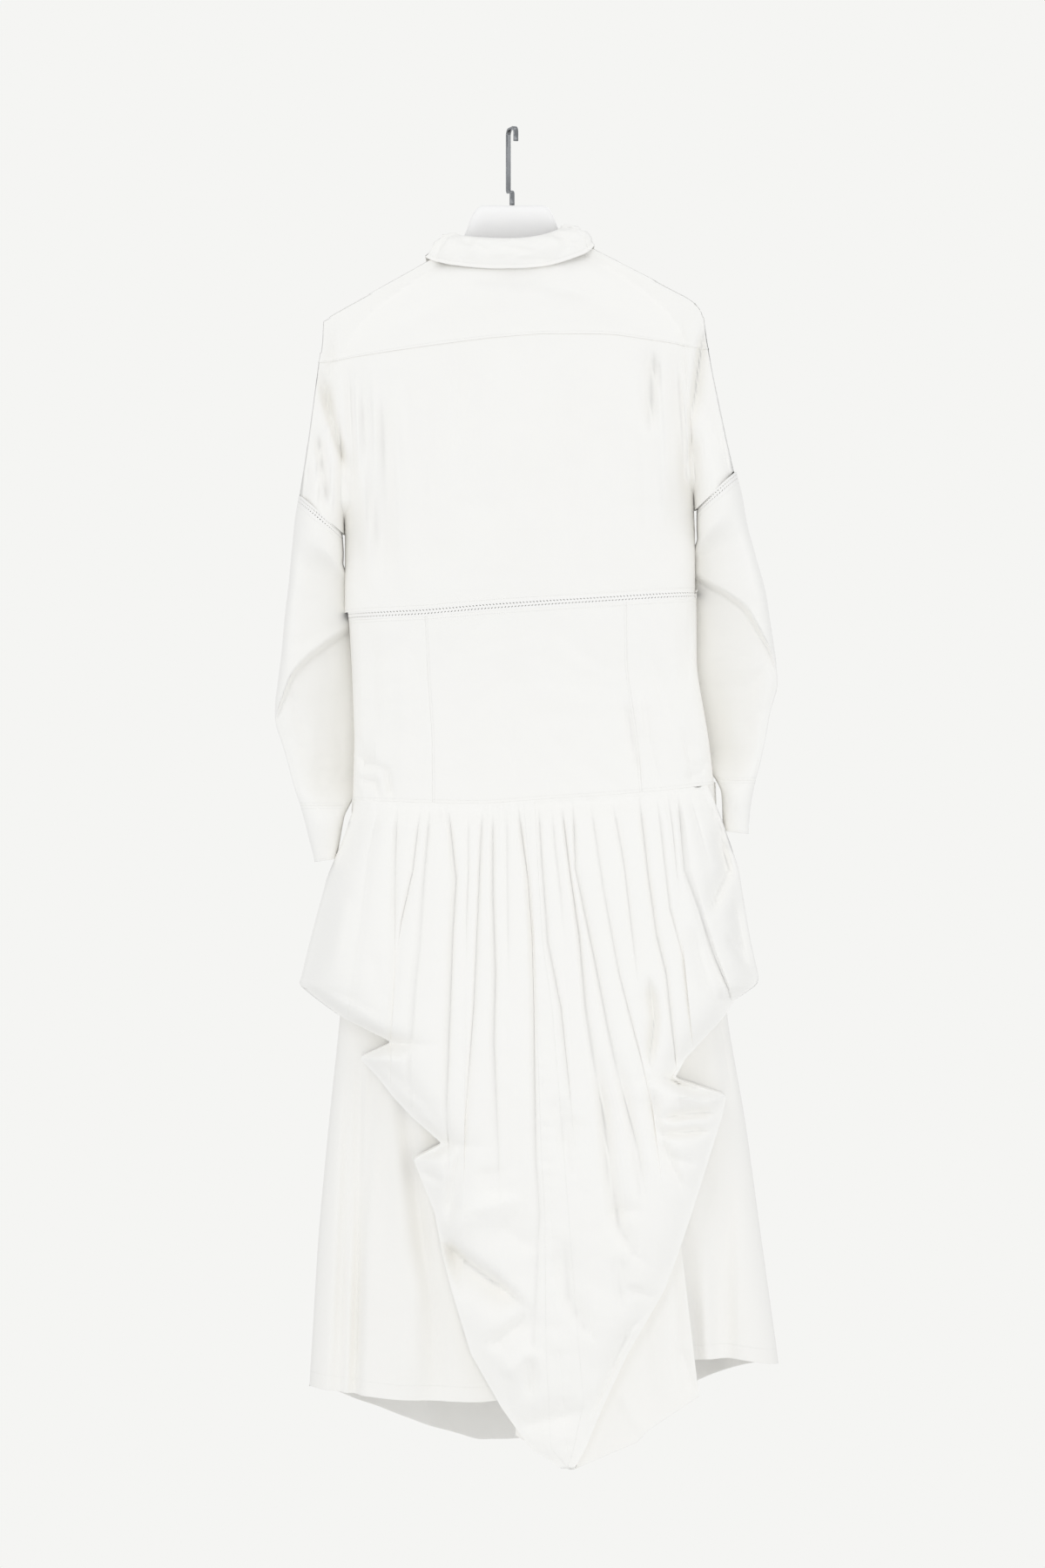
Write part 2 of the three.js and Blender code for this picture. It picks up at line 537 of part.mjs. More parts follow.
function collar() {
  const standAngles = steps(2 * NECK_COLS, (t) => mix(-PI, PI, t))
    .map((angle) => sign(angle) * min(abs(angle), PI - 0.01));
  const stand = steps(3).map((down) =>
    standAngles.map((angle) => {
      const top = collarRing(angle, COLLAR.fold, COLLAR.standIn);
      top.z -= COLLAR.lift;
      const foot = neckline(angle);
      return top.lerp(new THREE.Vector3(foot.x, foot.y, foot.z + 3 * SEAM), down);
    }));
  piece('collar_stand', wall(stand), WHITE);

  const fallAngles = steps(30, (t) => mix(-COLLAR.end, COLLAR.end, t));
  const fall = steps(5).map((down) =>
    fallAngles.map((angle) => {
      const top = collarRing(angle, COLLAR.fold, 1);
      const low = collarRing(angle, COLLAR.low);
      const tip = new THREE.Vector3(NECK.x + COLLAR.point.x * sign(angle), COLLAR.point.y, COLLAR.point.z);
      low.lerp(tip, ease(2.0, COLLAR.end, abs(angle)));
      const roll = COLLAR.roll * sin(PI * min(1, down * 1.15)) + (down > 0 ? COLLAR.lift : 0);
      const p = top.clone().lerp(low, down);
      p.x += roll * sin(angle) * 0.6;
      p.y -= roll * cos(angle);
      p.z += roll * 0.7;
      const side = sign(p.y);
      const cloth = upperDepth(side, p.x, p.z);
      if (down > 0.3 && cloth > 1) p.y = side * max(abs(p.y), cloth + COLLAR.clear);
      return p;
    }));
  piece('collar_fall', wall(fall), WHITE);
}

// Sleeves.

// Points of a sleeve's closed section at a height; angle 0 is the inner edge and a quarter turn on
// is the back.
function sleevePoint(arm, z, angle) {
  const rows = SLEEVE[arm];
  const at = (column) => read(rows, 'z', column, z);
  const [out, inn] = [at('out'), at('in')];
  const share = cos(angle);
  const round = abs(sin(angle)) ** 0.9 * sign(sin(angle));
  const x = mix(out, inn, (1 + share) / 2);
  let y = round > 0 ? -at('back') * round : -at('front') * round;
  y += elbowStep(arm, x, z) * abs(round);
  return new THREE.Vector3(x, y, z + at('tilt') * (x - (out + inn) / 2));
}

// Below the elbow's crease the cloth is set back towards the sleeve's middle.
function elbowStep(arm, x, z) {
  const { inX, inZ, outX, outZ, step } = ELBOW[arm];
  const line = mix(inZ, outZ, clamp((x - inX) / (outX - inX)));
  const below = line - z;
  return step * ease(-3, 9, below) * ease(150, 30, below);
}

function sleeves() {
  const COLS = 16;
  const CUFF_CLEAR = 0.4;
  for (const [arm, hand] of [['left', 1], ['right', -1]]) {
    const rows = SLEEVE[arm];
    const first = rows[0].z;
    const bottom = rows[rows.length - 1].z;
    const angles = steps(COLS - 1, (t) => (t * (COLS - 1) / COLS) * 2 * PI * hand);
    // As seen from outside, columns run to the right when the angle falls on the left sleeve.
    const ring = (heights) => heights.map((z) => angles.map((a) => sleevePoint(arm, z, -a)));
    const bandEnd = first - BAND;
    piece(`openwork_sleeve_${arm}`, wall(ring([first - 2 * SEAM, bandEnd]), { ring: true }), OPENWORK);
    const cuffTop = CUFF_TOP[arm];
    const heights = steps(10, (t) => mix(bandEnd - 2 * SEAM, cuffTop + EDGE, t));
    piece(`sleeve_${arm}`, wall(ring(heights), { ring: true }), WHITE);
    const cuff = steps(2, (t) => mix(cuffTop - EDGE - CUFF_CLEAR, bottom, t));
    piece(`cuff_${arm}`, wall(ring(cuff), { ring: true, thickness: CLOTH * 1.4 }), WHITE);
    const z = mix(cuffTop, bottom, 0.5);
    const outward = arm === 'left' ? -1 : 1;
    const at = (column) => read(rows, 'z', column, z);
    const foot = sleevePoint(arm, z, PI * 1.25);
    const normal = new THREE.Vector3(outward * at('front'), abs(at('out') - at('in')) / 2, 0).normalize();
    button(`button_cuff_${arm}`, foot.addScaledVector(normal, 1.2), normal);
  }
}

// Skirts.

const skirtAt = (column, z) => read(SKIRT, 'z', column, z);
const HEM_MIDDLE = (skirtAt('left', HEM_Z) + skirtAt('right', HEM_Z)) / 2;

// Depth of the underskirt with its soft folds, which deepen towards the hem.
function skirtDepth(side, x, z) {
  const [left, right] = [skirtAt('left', z), skirtAt('right', z)];
  const share = across(x, left, right);
  let depth = skirtAt(side < 0 ? 'back' : 'front', z) * dome(share, 2.3);
  const spread = (right - left) / (skirtAt('right', HEM_Z) - skirtAt('left', HEM_Z));
  const middle = (left + right) / 2;
  for (const flute of FLUTES) {
    if (flute.side !== side) continue;
    const place = middle + (flute.x - HEM_MIDDLE) * spread;
    const grown = ease(flute.from, HEM_Z, z) * ease(1, 0.9, abs(share));
    depth -= flute.depth * grown * exp(-(((x - place) / flute.wide) ** 2));
  }
  return max(EDGE, depth);
}

function underskirt() {
  const COLS = 24;
  const ROWS = 8;
  for (const [side, name] of [[-1, 'back'], [1, 'front']]) {
    const grid = steps(ROWS).map((down) =>
      steps(COLS, (t) => mix(t, settle(t), 0.75)).map((share) => {
        const waist = lineAt('waist', atWaist(share)) - SEAM;
        const hem = read(HEM, 'x', name, mix(-231, 306, share));
        const z = mix(waist, hem, down);
        const x = mix(skirtAt('left', z), skirtAt('right', z), share);
        const inset = side < 0 ? 6 * ease(-800, -770, z) * dome(2 * share - 1, 2) : 0;
        return new THREE.Vector3(x, side * max(EDGE, skirtDepth(side, x, z) - inset), z);
      }));
    piece(`underskirt_${name}`, wall(facing(side, grid), { side }), WHITE);
  }
}

const drapeAt = (column, z) => read(DRAPE, 'z', column, z);

// How far the gathers and folds draw the drape in at a place.
function drapeFolds(x, z) {
  let drawn = 0;
  for (const gather of GATHERS) {
    const down = (WAIST_Z - z) / (WAIST_Z - SPREAD_AT);
    const place = mix(gather.top, gather.low, min(1.6, down));
    const wide = gather.wide * mix(0.75, 1.7, clamp(down));
    const kept = ease(gather.reach, gather.reach * 0.35, WAIST_Z - z);
    drawn += gather.depth * kept * exp(-(((x - place) / wide) ** 2));
  }
  for (const fold of FOLDS) {
    const [dx, dz] = [fold.x1 - fold.x0, fold.z1 - fold.z0];
    const length = sqrt(dx * dx + dz * dz);
    const along = ((x - fold.x0) * dx + (z - fold.z0) * dz) / length ** 2;
    const away = ((x - fold.x0) * dz - (z - fold.z0) * dx) / length;
    const kept = ease(-0.15, 0.15, along) * ease(1.2, 0.8, along);
    drawn += fold.depth * kept * exp(-((away / fold.wide) ** 2));
  }
  return drawn;
}

// A point of the drape: share runs from its left edge to its right one, and turned (0 to 1) goes on
// past an edge, round a fold that leads to the inside.
function drapePoint(share, z, turned) {
  const [left, right] = [drapeAt('left', z), drapeAt('right', z)];
  const x = mix(left, right, share);
  const edge = mix(drapeAt('edgeL', z), drapeAt('edgeR', z), share);
  const mid = drapeAt('mid', z);
  const full = edge + (mid - edge) * dome(2 * share - 1, 2.2);
  const quiet = dome(2 * share - 1, 4);
  const under = skirtDepth(-1, x, z);
  const depth = max(full - drapeFolds(x, z) * quiet, edge, under + DRAPE_CLEAR);
  const inward = share < 0.5 ? 1 : -1;
  const beyond = inward > 0 ? skirtAt('left', z) - x : x - skirtAt('right', z);
  const wrap = ease(4, 16, beyond);
  const reach = max(0, mix(min(5, depth - under - DRAPE_CLEAR), 26, wrap));
  const angle = turned * 1.8;
  const curl = reach * sin(min(angle, PI / 2)) + 0.2 * turned;
  const back = 5 * wrap * (1 - cos(angle)) + 0.2 * turned;
  return new THREE.Vector3(x + inward * back, curl - depth, z + tiltToWaist(x, z));
}

function overskirt() {
  const TURNS = 2;
  const COLS = 24;
  const grid = ROW_Z.map((z) => {
    const [left, right] = [drapeAt('left', z), drapeAt('right', z)];
    const middle = (read(CENTRE_SEAM, 'z', 'x', z) - left) / (right - left);
    const gap = EDGE / (right - left);
    return [
      ...steps(TURNS).slice(1).reverse().map((t) => drapePoint(0, z, t)),
      ...steps(COLS).map((t) => drapePoint(mix(0, middle - gap, t), z, 0)),
      ...steps(COLS).map((t) => drapePoint(mix(middle + gap, 1, t), z, 0)),
      ...steps(TURNS).slice(1).map((t) => drapePoint(1, z, t)),
    ];
  });
  const join = TURNS + COLS;
  piece('overskirt_left', wall(grid, { seam: join, keep: (_, j) => j < join }), WHITE);
  piece('overskirt_right', wall(grid, { seam: join, keep: (_, j) => j > join }), WHITE);
}

// Near the waist the rows follow the waist seam instead of lying level.
function tiltToWaist(x, z) {
  return (lineAt('waist', x) - WAIST_Z) * ease(-950, -780, z);
}

function underlayer() {
  const COLS = 16;
  const [first, last] = [UNDERLAYER[0].x, UNDERLAYER[UNDERLAYER.length - 1].x];
  const grid = steps(5).map((down) =>
    steps(COLS).map((t) => {
      const nominal = mix(first, last, t);
      const low = read(UNDERLAYER, 'x', 'low', nominal);
      const z = mix(UNDERLAYER_TOP, low, down);
      const narrow = mix(0.86, 1, down);
      const depth = read(UNDERLAYER, 'x', 'depth', nominal) + UNDERLAYER_OUT;
      return new THREE.Vector3(mix(66, nominal, narrow), -depth, z);
    }));
  piece('overskirt_underlayer', wall(grid), WHITE);
}

// Hanger and hook.

function hanger() {
  const POINTS = 12;
  const sections = HANGER.map(({ x, top, bottom, deep }) =>
    Array.from({ length: POINTS }, (_, i) => {
      const angle = (2 * PI * i) / POINTS;
      const [c, s] = [cos(angle), sin(angle)];
      const [y, z] = [abs(c) ** 0.75 * sign(c), abs(s) ** 0.75 * sign(s)];
      return new THREE.Vector3(x, deep * y, (top + bottom) / 2 + ((top - bottom) / 2) * z);
    }));
  piece('hanger', loft(sections), PLASTIC);
}

function hook() {
  const { wide, thick, yaw, inside, corner, tip, foot } = HOOK;
  const line = inside + thick / 2; // from the middle to the bar's centre line
  const top = thick / 2;
  const arc = (cs, cz, r, from, to, count) => steps(count, (t) => mix(from, to, t))
    .map((a) => [cs + r * cos(a), cz + r * sin(a)]);
  const path = [
    [0, foot], [0, foot + 12],
    ...arc(4, foot + 12, 4, PI, PI / 2, 3).slice(1),
    ...arc(line - 4, foot + 20, 4, -PI / 2, 0, 3),
    ...arc(line - corner, top - corner, corner, 0, PI / 2, 5),
    ...arc(-line + corner, top - corner, corner, PI / 2, PI, 5),
    [-line, tip],
  ];
  const side = new THREE.Vector3(cos(yaw), sin(yaw), 0);
  const ahead = new THREE.Vector3(-sin(yaw), cos(yaw), 0);
  const up = new THREE.Vector3(0, 0, 1);
  const section = [[-1, -0.6], [-0.8, -1], [0.8, -1], [1, -0.6], [1, 0.6], [0.8, 1], [-0.8, 1], [-1, 0.6]];
  const sections = path.map(([s, z], i) => {
    const [s0, z0] = path[max(0, i - 1)];
    const [s1, z1] = path[min(path.length - 1, i + 1)];
    const length = sqrt((s1 - s0) ** 2 + (z1 - z0) ** 2);
    const normal = new THREE.Vector3().addScaledVector(ahead, (z1 - z0) / length)
      .addScaledVector(up, -(s1 - s0) / length);
    return section.map(([across1, through]) => new THREE.Vector3()
      .addScaledVector(ahead, s).addScaledVector(up, z)
      .addScaledVector(side, (across1 * wide) / 2)
      .addScaledVector(normal, (through * thick) / 2));
  });
  piece('hook', loft(sections), STEEL);
}

hanger();
hook();
collar();
upperBody();
lowerBody();
placket();
sleeves();
underskirt();
overskirt();
underlayer();

export default group;
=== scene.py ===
"""A cotton shirt dress with a gathered, draped back overskirt, on a broad hanger.

Lengths in this file are millimetres and become metres where a mesh is made. Only the lights are
given in metres. +Z is up, the back of the dress faces -Y, and the origin is the underside of the
hook's top.
"""

import bpy
import numpy as np
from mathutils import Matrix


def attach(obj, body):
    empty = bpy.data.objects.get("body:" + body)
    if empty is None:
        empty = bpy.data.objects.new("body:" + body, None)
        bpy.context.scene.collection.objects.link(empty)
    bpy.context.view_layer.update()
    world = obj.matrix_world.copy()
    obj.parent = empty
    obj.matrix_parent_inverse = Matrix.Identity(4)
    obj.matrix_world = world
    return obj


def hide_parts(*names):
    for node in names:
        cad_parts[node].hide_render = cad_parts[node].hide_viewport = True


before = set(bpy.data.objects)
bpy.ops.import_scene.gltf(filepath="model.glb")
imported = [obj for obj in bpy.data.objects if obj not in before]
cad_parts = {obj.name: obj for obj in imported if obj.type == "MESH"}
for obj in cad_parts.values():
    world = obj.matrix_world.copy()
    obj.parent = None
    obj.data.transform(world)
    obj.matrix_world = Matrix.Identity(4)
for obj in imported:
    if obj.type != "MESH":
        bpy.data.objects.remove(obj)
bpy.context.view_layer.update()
scene = bpy.context.scene
for left_over in ("Cube", "Light", "Camera"):
    if left_over in bpy.data.objects:
        bpy.data.objects.remove(bpy.data.objects[left_over])

MM = 0.001
SEAM = 0.3  # between two pieces that are sewn together
EDGE = SEAM / 2
WALL = 1.4  # the solids' cloth, whose outer faces these pieces share
POPLIN = 0.5  # one layer of cloth as it is drawn
DOUBLE = 1.2  # two layers with a stiffener, at the collar and cuffs
EYE = 5000  # from the camera to the plane of the hanger
VIEW = {"x": 12, "z": -751.5}  # the middle of the picture on that plane
PICTURE_TALL = 1801  # millimetres of that plane that the picture takes in


# Numbers on grids

def table(names, rows):
    """Rows of numbers as one array for each named column."""
    return dict(zip(names.split(), np.array(rows, float).T))


def read(rows, key, column, at, soft=0.0):
    """A column at values of the key: straight between rows, or averaged over soft to each side."""
    order = np.argsort(rows[key])
    keys, values = rows[key][order], rows[column][order]
    at = np.asarray(at, float)
    if not soft:
        return np.interp(at, keys, values)
    shares = np.arange(-3, 4)
    weights = 4 - np.abs(shares)
    return sum(w * np.interp(at + s * soft / 3, keys, values) for s, w in zip(shares, weights)) / 16


def at_height(rows, z, names, soft=0.0):
    """Several columns of a table, by their names, at a height."""
    return [read(rows, "z", name, z, soft) for name in names.split()]


def mix(a, b, t):
    """a at t = 0 and b at t = 1."""
    return a + (b - a) * t


def ease(a, b, at):
    """0 before a, 1 after b, and a smooth S between."""
    t = np.clip((at - a) / (b - a), 0, 1)
    return t * t * (3 - 2 * t)


def dome(t, n):
    """Height of a unit dome at share t of its half width; a larger n is fuller."""
    return (1 - np.minimum(1, np.abs(t)) ** n) ** (1 / n)


def settle(t):
    """Shares of 0 to 1, closer together at both ends."""
    return (1 - np.cos(np.pi * t)) / 2


def spread(count, length, ends=(True, True)):
    """Shares of a length, even but for close steps beside the ends that are sewn."""
    near = np.array([0, 0.6, 1.3, 2.2, 3.4]) / length
    first = near if ends[0] else near[:1]
    last = 1 - (near if ends[1] else near[:1])[::-1]
    return np.concatenate([first[:-1], np.linspace(first[-1], last[0], count), last[1:]])


def noise(u, v, size, seed):
    """Smooth noise of -1 to 1: random heights on a square lattice, eased between its points."""
    lattice = np.random.default_rng(seed).uniform(-1, 1, (64, 64))
    a, b = u / size + 31.7, v / size + 17.3
    i, j = np.floor(a).astype(int), np.floor(b).astype(int)
    s, t = a - i, b - j
    s, t = s * s * (3 - 2 * s), t * t * (3 - 2 * t)
    top = mix(lattice[i % 64, j % 64], lattice[(i + 1) % 64, j % 64], s)
    low = mix(lattice[i % 64, (j + 1) % 64], lattice[(i + 1) % 64, (j + 1) % 64], s)
    return mix(top, low, t)


def crumple(u, v, size, seed):
    """Creased cloth: ridges where a warped noise crosses nought, of three sizes, each half the last."""
    bend = 0.7 * size * noise(u, v, 1.6 * size, seed + 9)
    total = 0
    for k in range(3):
        total = total + (0.45 - np.abs(noise(u + bend, v - bend, size / 2**k, seed + k))) / 2**k
    return total


def creases(x, z, rows):
    """How far straight creases draw the cloth in: a bell across each, whose two banks have their own
    widths, eased out at both ends. A depth under nought is a ridge."""
    total = np.zeros(np.broadcast(x, z).shape)
    for x0, z0, x1, z1, depth, before, after in zip(*rows.values()):
        dx, dz = x1 - x0, z1 - z0
        length = np.hypot(dx, dz)
        along = ((x - x0) * dx + (z - z0) * dz) / length**2
        away = ((x - x0) * dz - (z - z0) * dx) / length
        width = np.where(away < 0, before, after)
        kept = ease(-0.08, 0.3, along) * ease(1.08, 0.7, along)
        total += depth * kept * np.exp(-((away / width) ** 2))
    return total


def folds(x, z, rows, sharp=2.0):
    """How far folded lines draw the cloth in: the distance to the nearest stretch of each line, on
    its left or right, gives a bell or, with sharp near 1, a cusp, eased out at both ends."""
    total = np.zeros(x.shape)
    for points, depth, before, after in rows:
        nearest, signed, done = np.full(x.shape, 1e9), np.zeros(x.shape), np.zeros(x.shape)
        spans = [np.hypot(q[0] - p[0], q[1] - p[1]) for p, q in zip(points, points[1:])]
        run = 0
        for (x0, z0), (x1, z1), length in zip(points, points[1:], spans):
            dx, dz = (x1 - x0) / length, (z1 - z0) / length
            on = np.clip((x - x0) * dx + (z - z0) * dz, 0, length)
            ox, oz = x - x0 - on * dx, z - z0 - on * dz
            off = np.hypot(ox, oz)
            closer = off < nearest
            signed = np.where(closer, off * np.sign(dx * oz - dz * ox), signed)
            done = np.where(closer, run + on, done)
            nearest = np.minimum(nearest, off)
            run += length
        kept = ease(-0.03, 0.26, done / run) * ease(1.03, 0.68, done / run)
        width = np.where(signed < 0, before, after) * mix(0.5, 1, kept)
        total += depth * kept * np.exp(-((np.abs(signed) / width) ** sharp))
    return total


CREASE = "x0 z0 x1 z1 depth before after"
# How strongly the tables of creases and folds draw the cloth in.
DRAWN = {"upper": 2.2, "lower": 2.0, "gathers": 0.85, "folds": 1.55}


def seen(x, z, depth):
    """Where a point this far in front of the hanger's plane shows on that plane from the camera."""
    scale = EYE / (EYE - depth)
    return VIEW["x"] + (x - VIEW["x"]) * scale, VIEW["z"] + (z - VIEW["z"]) * scale


def outward(points):
    """Unit normals of a grid whose rows run down and whose columns run right, seen from outside."""
    down = np.gradient(points, axis=0)
    right = np.gradient(points, axis=1)
    n = np.cross(down, right)
    return n / np.maximum(np.linalg.norm(n, axis=-1, keepdims=True), 1e-9)


def lengths(points, axis):
    """Length run along an axis of a grid, averaged over the other one."""
    step = np.linalg.norm(np.diff(points, axis=axis), axis=-1).mean(axis=1 - axis)
    return np.concatenate([[0], np.cumsum(step)])


def tuck(points, sides, depth=0.7, reach=1.3):
    """Turns the cloth in at its sewn sides: a bell in the distance from each. Sides are t, b, l, r."""
    down, right = lengths(points, 0)[:, None], lengths(points, 1)[None, :]
    off = {"t": down, "b": down[-1] - down, "l": right, "r": right[:, -1:] - right}
    pull = sum(np.exp(-((off[side] / reach) ** 2)) for side in sides) + np.zeros(points.shape[:2])
    return points - outward(points) * (depth * np.minimum(1, pull))[..., None]


def stack(x, y, z):
    """Three arrays as one grid of points."""
    return np.stack(np.broadcast_arrays(x, y, z), axis=-1).astype(float)


# Meshes

def add_mesh(name, points, faces, uv=None, smooth=True):
    """A mesh object from points in millimetres, faces of equal corner count, and a place in the
    cloth for each face corner, in metres."""
    faces = np.asarray(faces, np.int32)
    corners = faces.shape[-1]
    used, faces = np.unique(faces, return_inverse=True)
    faces = faces.reshape(-1, corners)
    points = np.asarray(points, float).reshape(-1, 3)[used] * MM
    mesh = bpy.data.meshes.new(name)
    mesh.vertices.add(len(points))
    mesh.vertices.foreach_set("co", points.ravel())
    mesh.loops.add(faces.size)
    mesh.loops.foreach_set("vertex_index", faces.ravel())
    mesh.polygons.add(len(faces))
    mesh.polygons.foreach_set("loop_start", np.arange(0, faces.size, corners))
    mesh.polygons.foreach_set("use_smooth", np.full(len(faces), smooth))
    if uv is not None:
        layer = mesh.uv_layers.new(name="UVMap")
        layer.data.foreach_set("uv", np.asarray(uv, float).ravel())
    mesh.update(calc_edges=True)
    mesh.validate()
    obj = bpy.data.objects.new(name, mesh)
    scene.collection.objects.link(obj)
    return obj


def corners_of(grid):
    """The four corners of each cell of a grid, in the order that faces outwards."""
    return np.stack([grid[:-1, :-1], grid[1:, :-1], grid[1:, 1:], grid[:-1, 1:]], axis=-1)


def finish_piece(obj, material, nodes):
    """Gives a piece its finish, carries it on the hanger and lets it stand for its solids."""
    obj.data.materials.clear()
    obj.data.materials.append(material)
    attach(obj, "root")
    if nodes:
        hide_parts(*nodes)


def cloth(name, points, material=None, keep=None, ring=False, thick=POPLIN):
    """A thin shell on a grid of points, its wall turned inwards, in place of the solid of its name.
    keep marks the cells that are cloth, and a ring's last column joins its first."""
    rows, cols = points.shape[:2]
    grid = np.arange(rows * cols).reshape(rows, cols)
    looped = points
    if ring:
        grid = np.concatenate([grid, grid[:, :1]], axis=1)
        looped = np.concatenate([points, points[:, :1]], axis=1)
    u, v = np.meshgrid(lengths(looped, 1) * MM, -lengths(looped, 0) * MM)
    faces, us, vs = corners_of(grid), corners_of(u), corners_of(v)
    chosen = np.ones(faces.shape[:2], bool) if keep is None else keep
    obj = add_mesh(f"{name}_cloth", points, faces[chosen], np.stack([us[chosen], vs[chosen]], axis=-1))
    shell = obj.modifiers.new("wall", "SOLIDIFY")
    shell.thickness = thick * MM
    shell.offset = -1
    crisp = obj.modifiers.new("crisp_edges", "WEIGHTED_NORMAL")
    crisp.mode, crisp.weight = "FACE_AREA", 100
    finish_piece(obj, material or COTTON, [name])


def tube_faces(rows, cols):
    """Faces of a closed tube of rows rings of cols points, with flat ends as fans of quads."""
    grid = np.arange(rows * cols).reshape(rows, cols)
    grid = np.concatenate([grid, grid[:, :1]], axis=1)
    sides = corners_of(grid).reshape(-1, 4)
    half = cols // 2
    k = np.arange(half - 1)
    end = np.stack([k, k + 1, cols - 2 - k, cols - 1 - k], axis=-1)
    return np.concatenate([sides, end[:, ::-1], end + (rows - 1) * cols])


def loft(name, rings, material):
    """A closed solid through rings of equal point counts that run the other way round, in place of
    the solid of its name."""
    faces = tube_faces(*rings.shape[:2])[:, ::-1]
    finish_piece(add_mesh(f"{name}_form", rings, faces), material, [name])


class Stitches:
    """Runs of thread on the cloth, joined into one mesh. Each stitch is a long octahedron."""

    def __init__(self):
        self.runs = []

    def run(self, line, normals, pitch=2.8, long=2.1, thick=0.45, lift=0.12):
        """Stitches along a line of points, evenly spaced by its length."""
        line, normals = np.asarray(line), np.asarray(normals)
        at = np.concatenate([[0], np.cumsum(np.linalg.norm(np.diff(line, axis=0), axis=1))])
        mid = np.arange(pitch / 2, at[-1], pitch)

        def on(values, s):
            return np.stack([np.interp(s, at, values[:, k]) for k in range(3)], axis=-1)

        a, b, n = on(line, mid - long / 2), on(line, mid + long / 2), on(normals, mid)
        way = b - a
        way /= np.maximum(np.linalg.norm(way, axis=1, keepdims=True), 1e-9)
        side = np.cross(n, way) * thick / 2
        centre = (a + b) / 2 + n * lift
        rise = n * thick / 2
        points = np.stack([a, b, centre - side, centre + side, centre + rise, centre - rise], axis=1)
        self.runs.append(points)

    def sew(self, grid, rows=(), cols=()):
        """Stitches along rows and columns of a piece."""
        normals = outward(grid)
        for row in rows:
            self.run(grid[row], normals[row])
        for col in cols:
            self.run(grid[:, col], normals[:, col])

    def make(self, name, material):
        """The mesh of all runs."""
        points = np.concatenate(self.runs)
        one = np.array([[0, 4, 2], [0, 3, 4], [0, 5, 3], [0, 2, 5],
                        [1, 2, 4], [1, 4, 3], [1, 3, 5], [1, 5, 2]])
        faces = one[None] + 6 * np.arange(len(points))[:, None, None]
        finish_piece(add_mesh(name, points, faces.reshape(-1, 3)), material, ())


sewing = Stitches()


# Shader maths

class Value:
    """A socket, with sums written as expressions."""

    def __init__(self, shader, socket):
        self.shader, self.socket = shader, socket

    def maths(self, operation, other):
        return self.shader.node("ShaderNodeMath", {"operation": operation}, {0: self, 1: other})

    def __add__(self, other):
        return self.maths("ADD", other)

    def __mul__(self, other):
        return self.maths("MULTIPLY", other)

    __radd__ = __add__
    __rmul__ = __mul__


class Shader:
    """A material and its nodes. Sockets are given by name or place, each with a value or a link."""

    def __init__(self, name):
        self.material = bpy.data.materials.new(name)
        self.material.use_nodes = True
        self.tree = self.material.node_tree
        self.surface = self.tree.nodes["Principled BSDF"]

    def fill(self, node, sockets):
        for key, value in sockets.items():
            if isinstance(value, Value):
                self.tree.links.new(value.socket, node.inputs[key])
            else:
                node.inputs[key].default_value = value

    def node(self, kind, settings, sockets, out=0):
        """A node of a kind: its settings first, then its sockets."""
        node = self.tree.nodes.new(kind)
        for key, value in settings.items():
            setattr(node, key, value)
        self.fill(node, sockets)
        return Value(self, node.outputs[out])

    def noise(self, scale, vector, detail=2.0, rough=0.5):
        return self.node("ShaderNodeTexNoise", {}, {
            "Vector": vector, "Scale": scale, "Detail": detail, "Roughness": rough})

    def blend(self, factor, a, b):
        """A colour between a and b."""
        return self.node("ShaderNodeMix", {"data_type": "RGBA"}, {0: factor, 6: (*a, 1), 7: (*b, 1)}, 2)

    def bump(self, height, strength, distance, **more):
        return self.node("ShaderNodeBump", {}, {
            "Strength": strength, "Distance": distance, "Height": height, **more})


def poplin(name, light, shade, weave=0.05, crease=0.35):
    """Plain-weave cotton: crossed fine threads and small slubs as bump, on the cloth's own map."""
    s = Shader(name)
    uv = s.node("ShaderNodeUVMap", {"uv_map": "UVMap"}, {})
    warp, weft = (s.node("ShaderNodeTexWave", {"wave_type": "BANDS", "bands_direction": way}, {
        "Vector": uv, "Scale": scale, "Distortion": 0.6, "Detail": 1.0})
        for way, scale in (("X", 640.0), ("Y", 560.0)))
    drawn_out = s.node("ShaderNodeVectorMath", {"operation": "MULTIPLY"}, {0: uv, 1: (1, 0.12, 1)})
    slub = s.noise(900.0, drawn_out)
    soft = s.noise(38.0, uv, detail=4.0, rough=0.6)
    threads = s.bump(warp * 0.4 + weft * 0.4 + slub * 0.5, weave, 0.0002)
    wrinkle = s.bump(soft, crease, 0.0008, Normal=threads)
    tone = s.noise(9.0, uv, detail=3.0)
    s.fill(s.surface, {"Base Color": s.blend(tone * 0.7 + slub * 0.3, shade, light),
                       "Roughness": 0.82, "Specular IOR Level": 0.25, "Normal": wrinkle})
    return s.material


COTTON = poplin("white_poplin", (0.958, 0.946, 0.908), (0.945, 0.93, 0.888))
# The same poplin a little darker: painted shade for the underskirt and the drape's underlayer, which lie
# under the drape.
COTTON_SHADED = poplin("white_poplin_painted_shade", (0.948, 0.934, 0.893), (0.932, 0.916, 0.872))


def plain(name, colour, dark, rough, scale, metallic=0.0, bump=0.1):
    """A moulded, drawn or spun finish with a faint unevenness of tone, sheen and surface."""
    s = Shader(name)
    fine = s.noise(scale, s.node("ShaderNodeTexCoord", {}, {}, "Object"), detail=3.0)
    s.fill(s.surface, {"Base Color": s.blend(fine, dark, colour), "Roughness": fine * 0.12 + rough,
                       "Normal": s.bump(fine, bump, 0.0002), "Metallic": metallic})
    return s.material


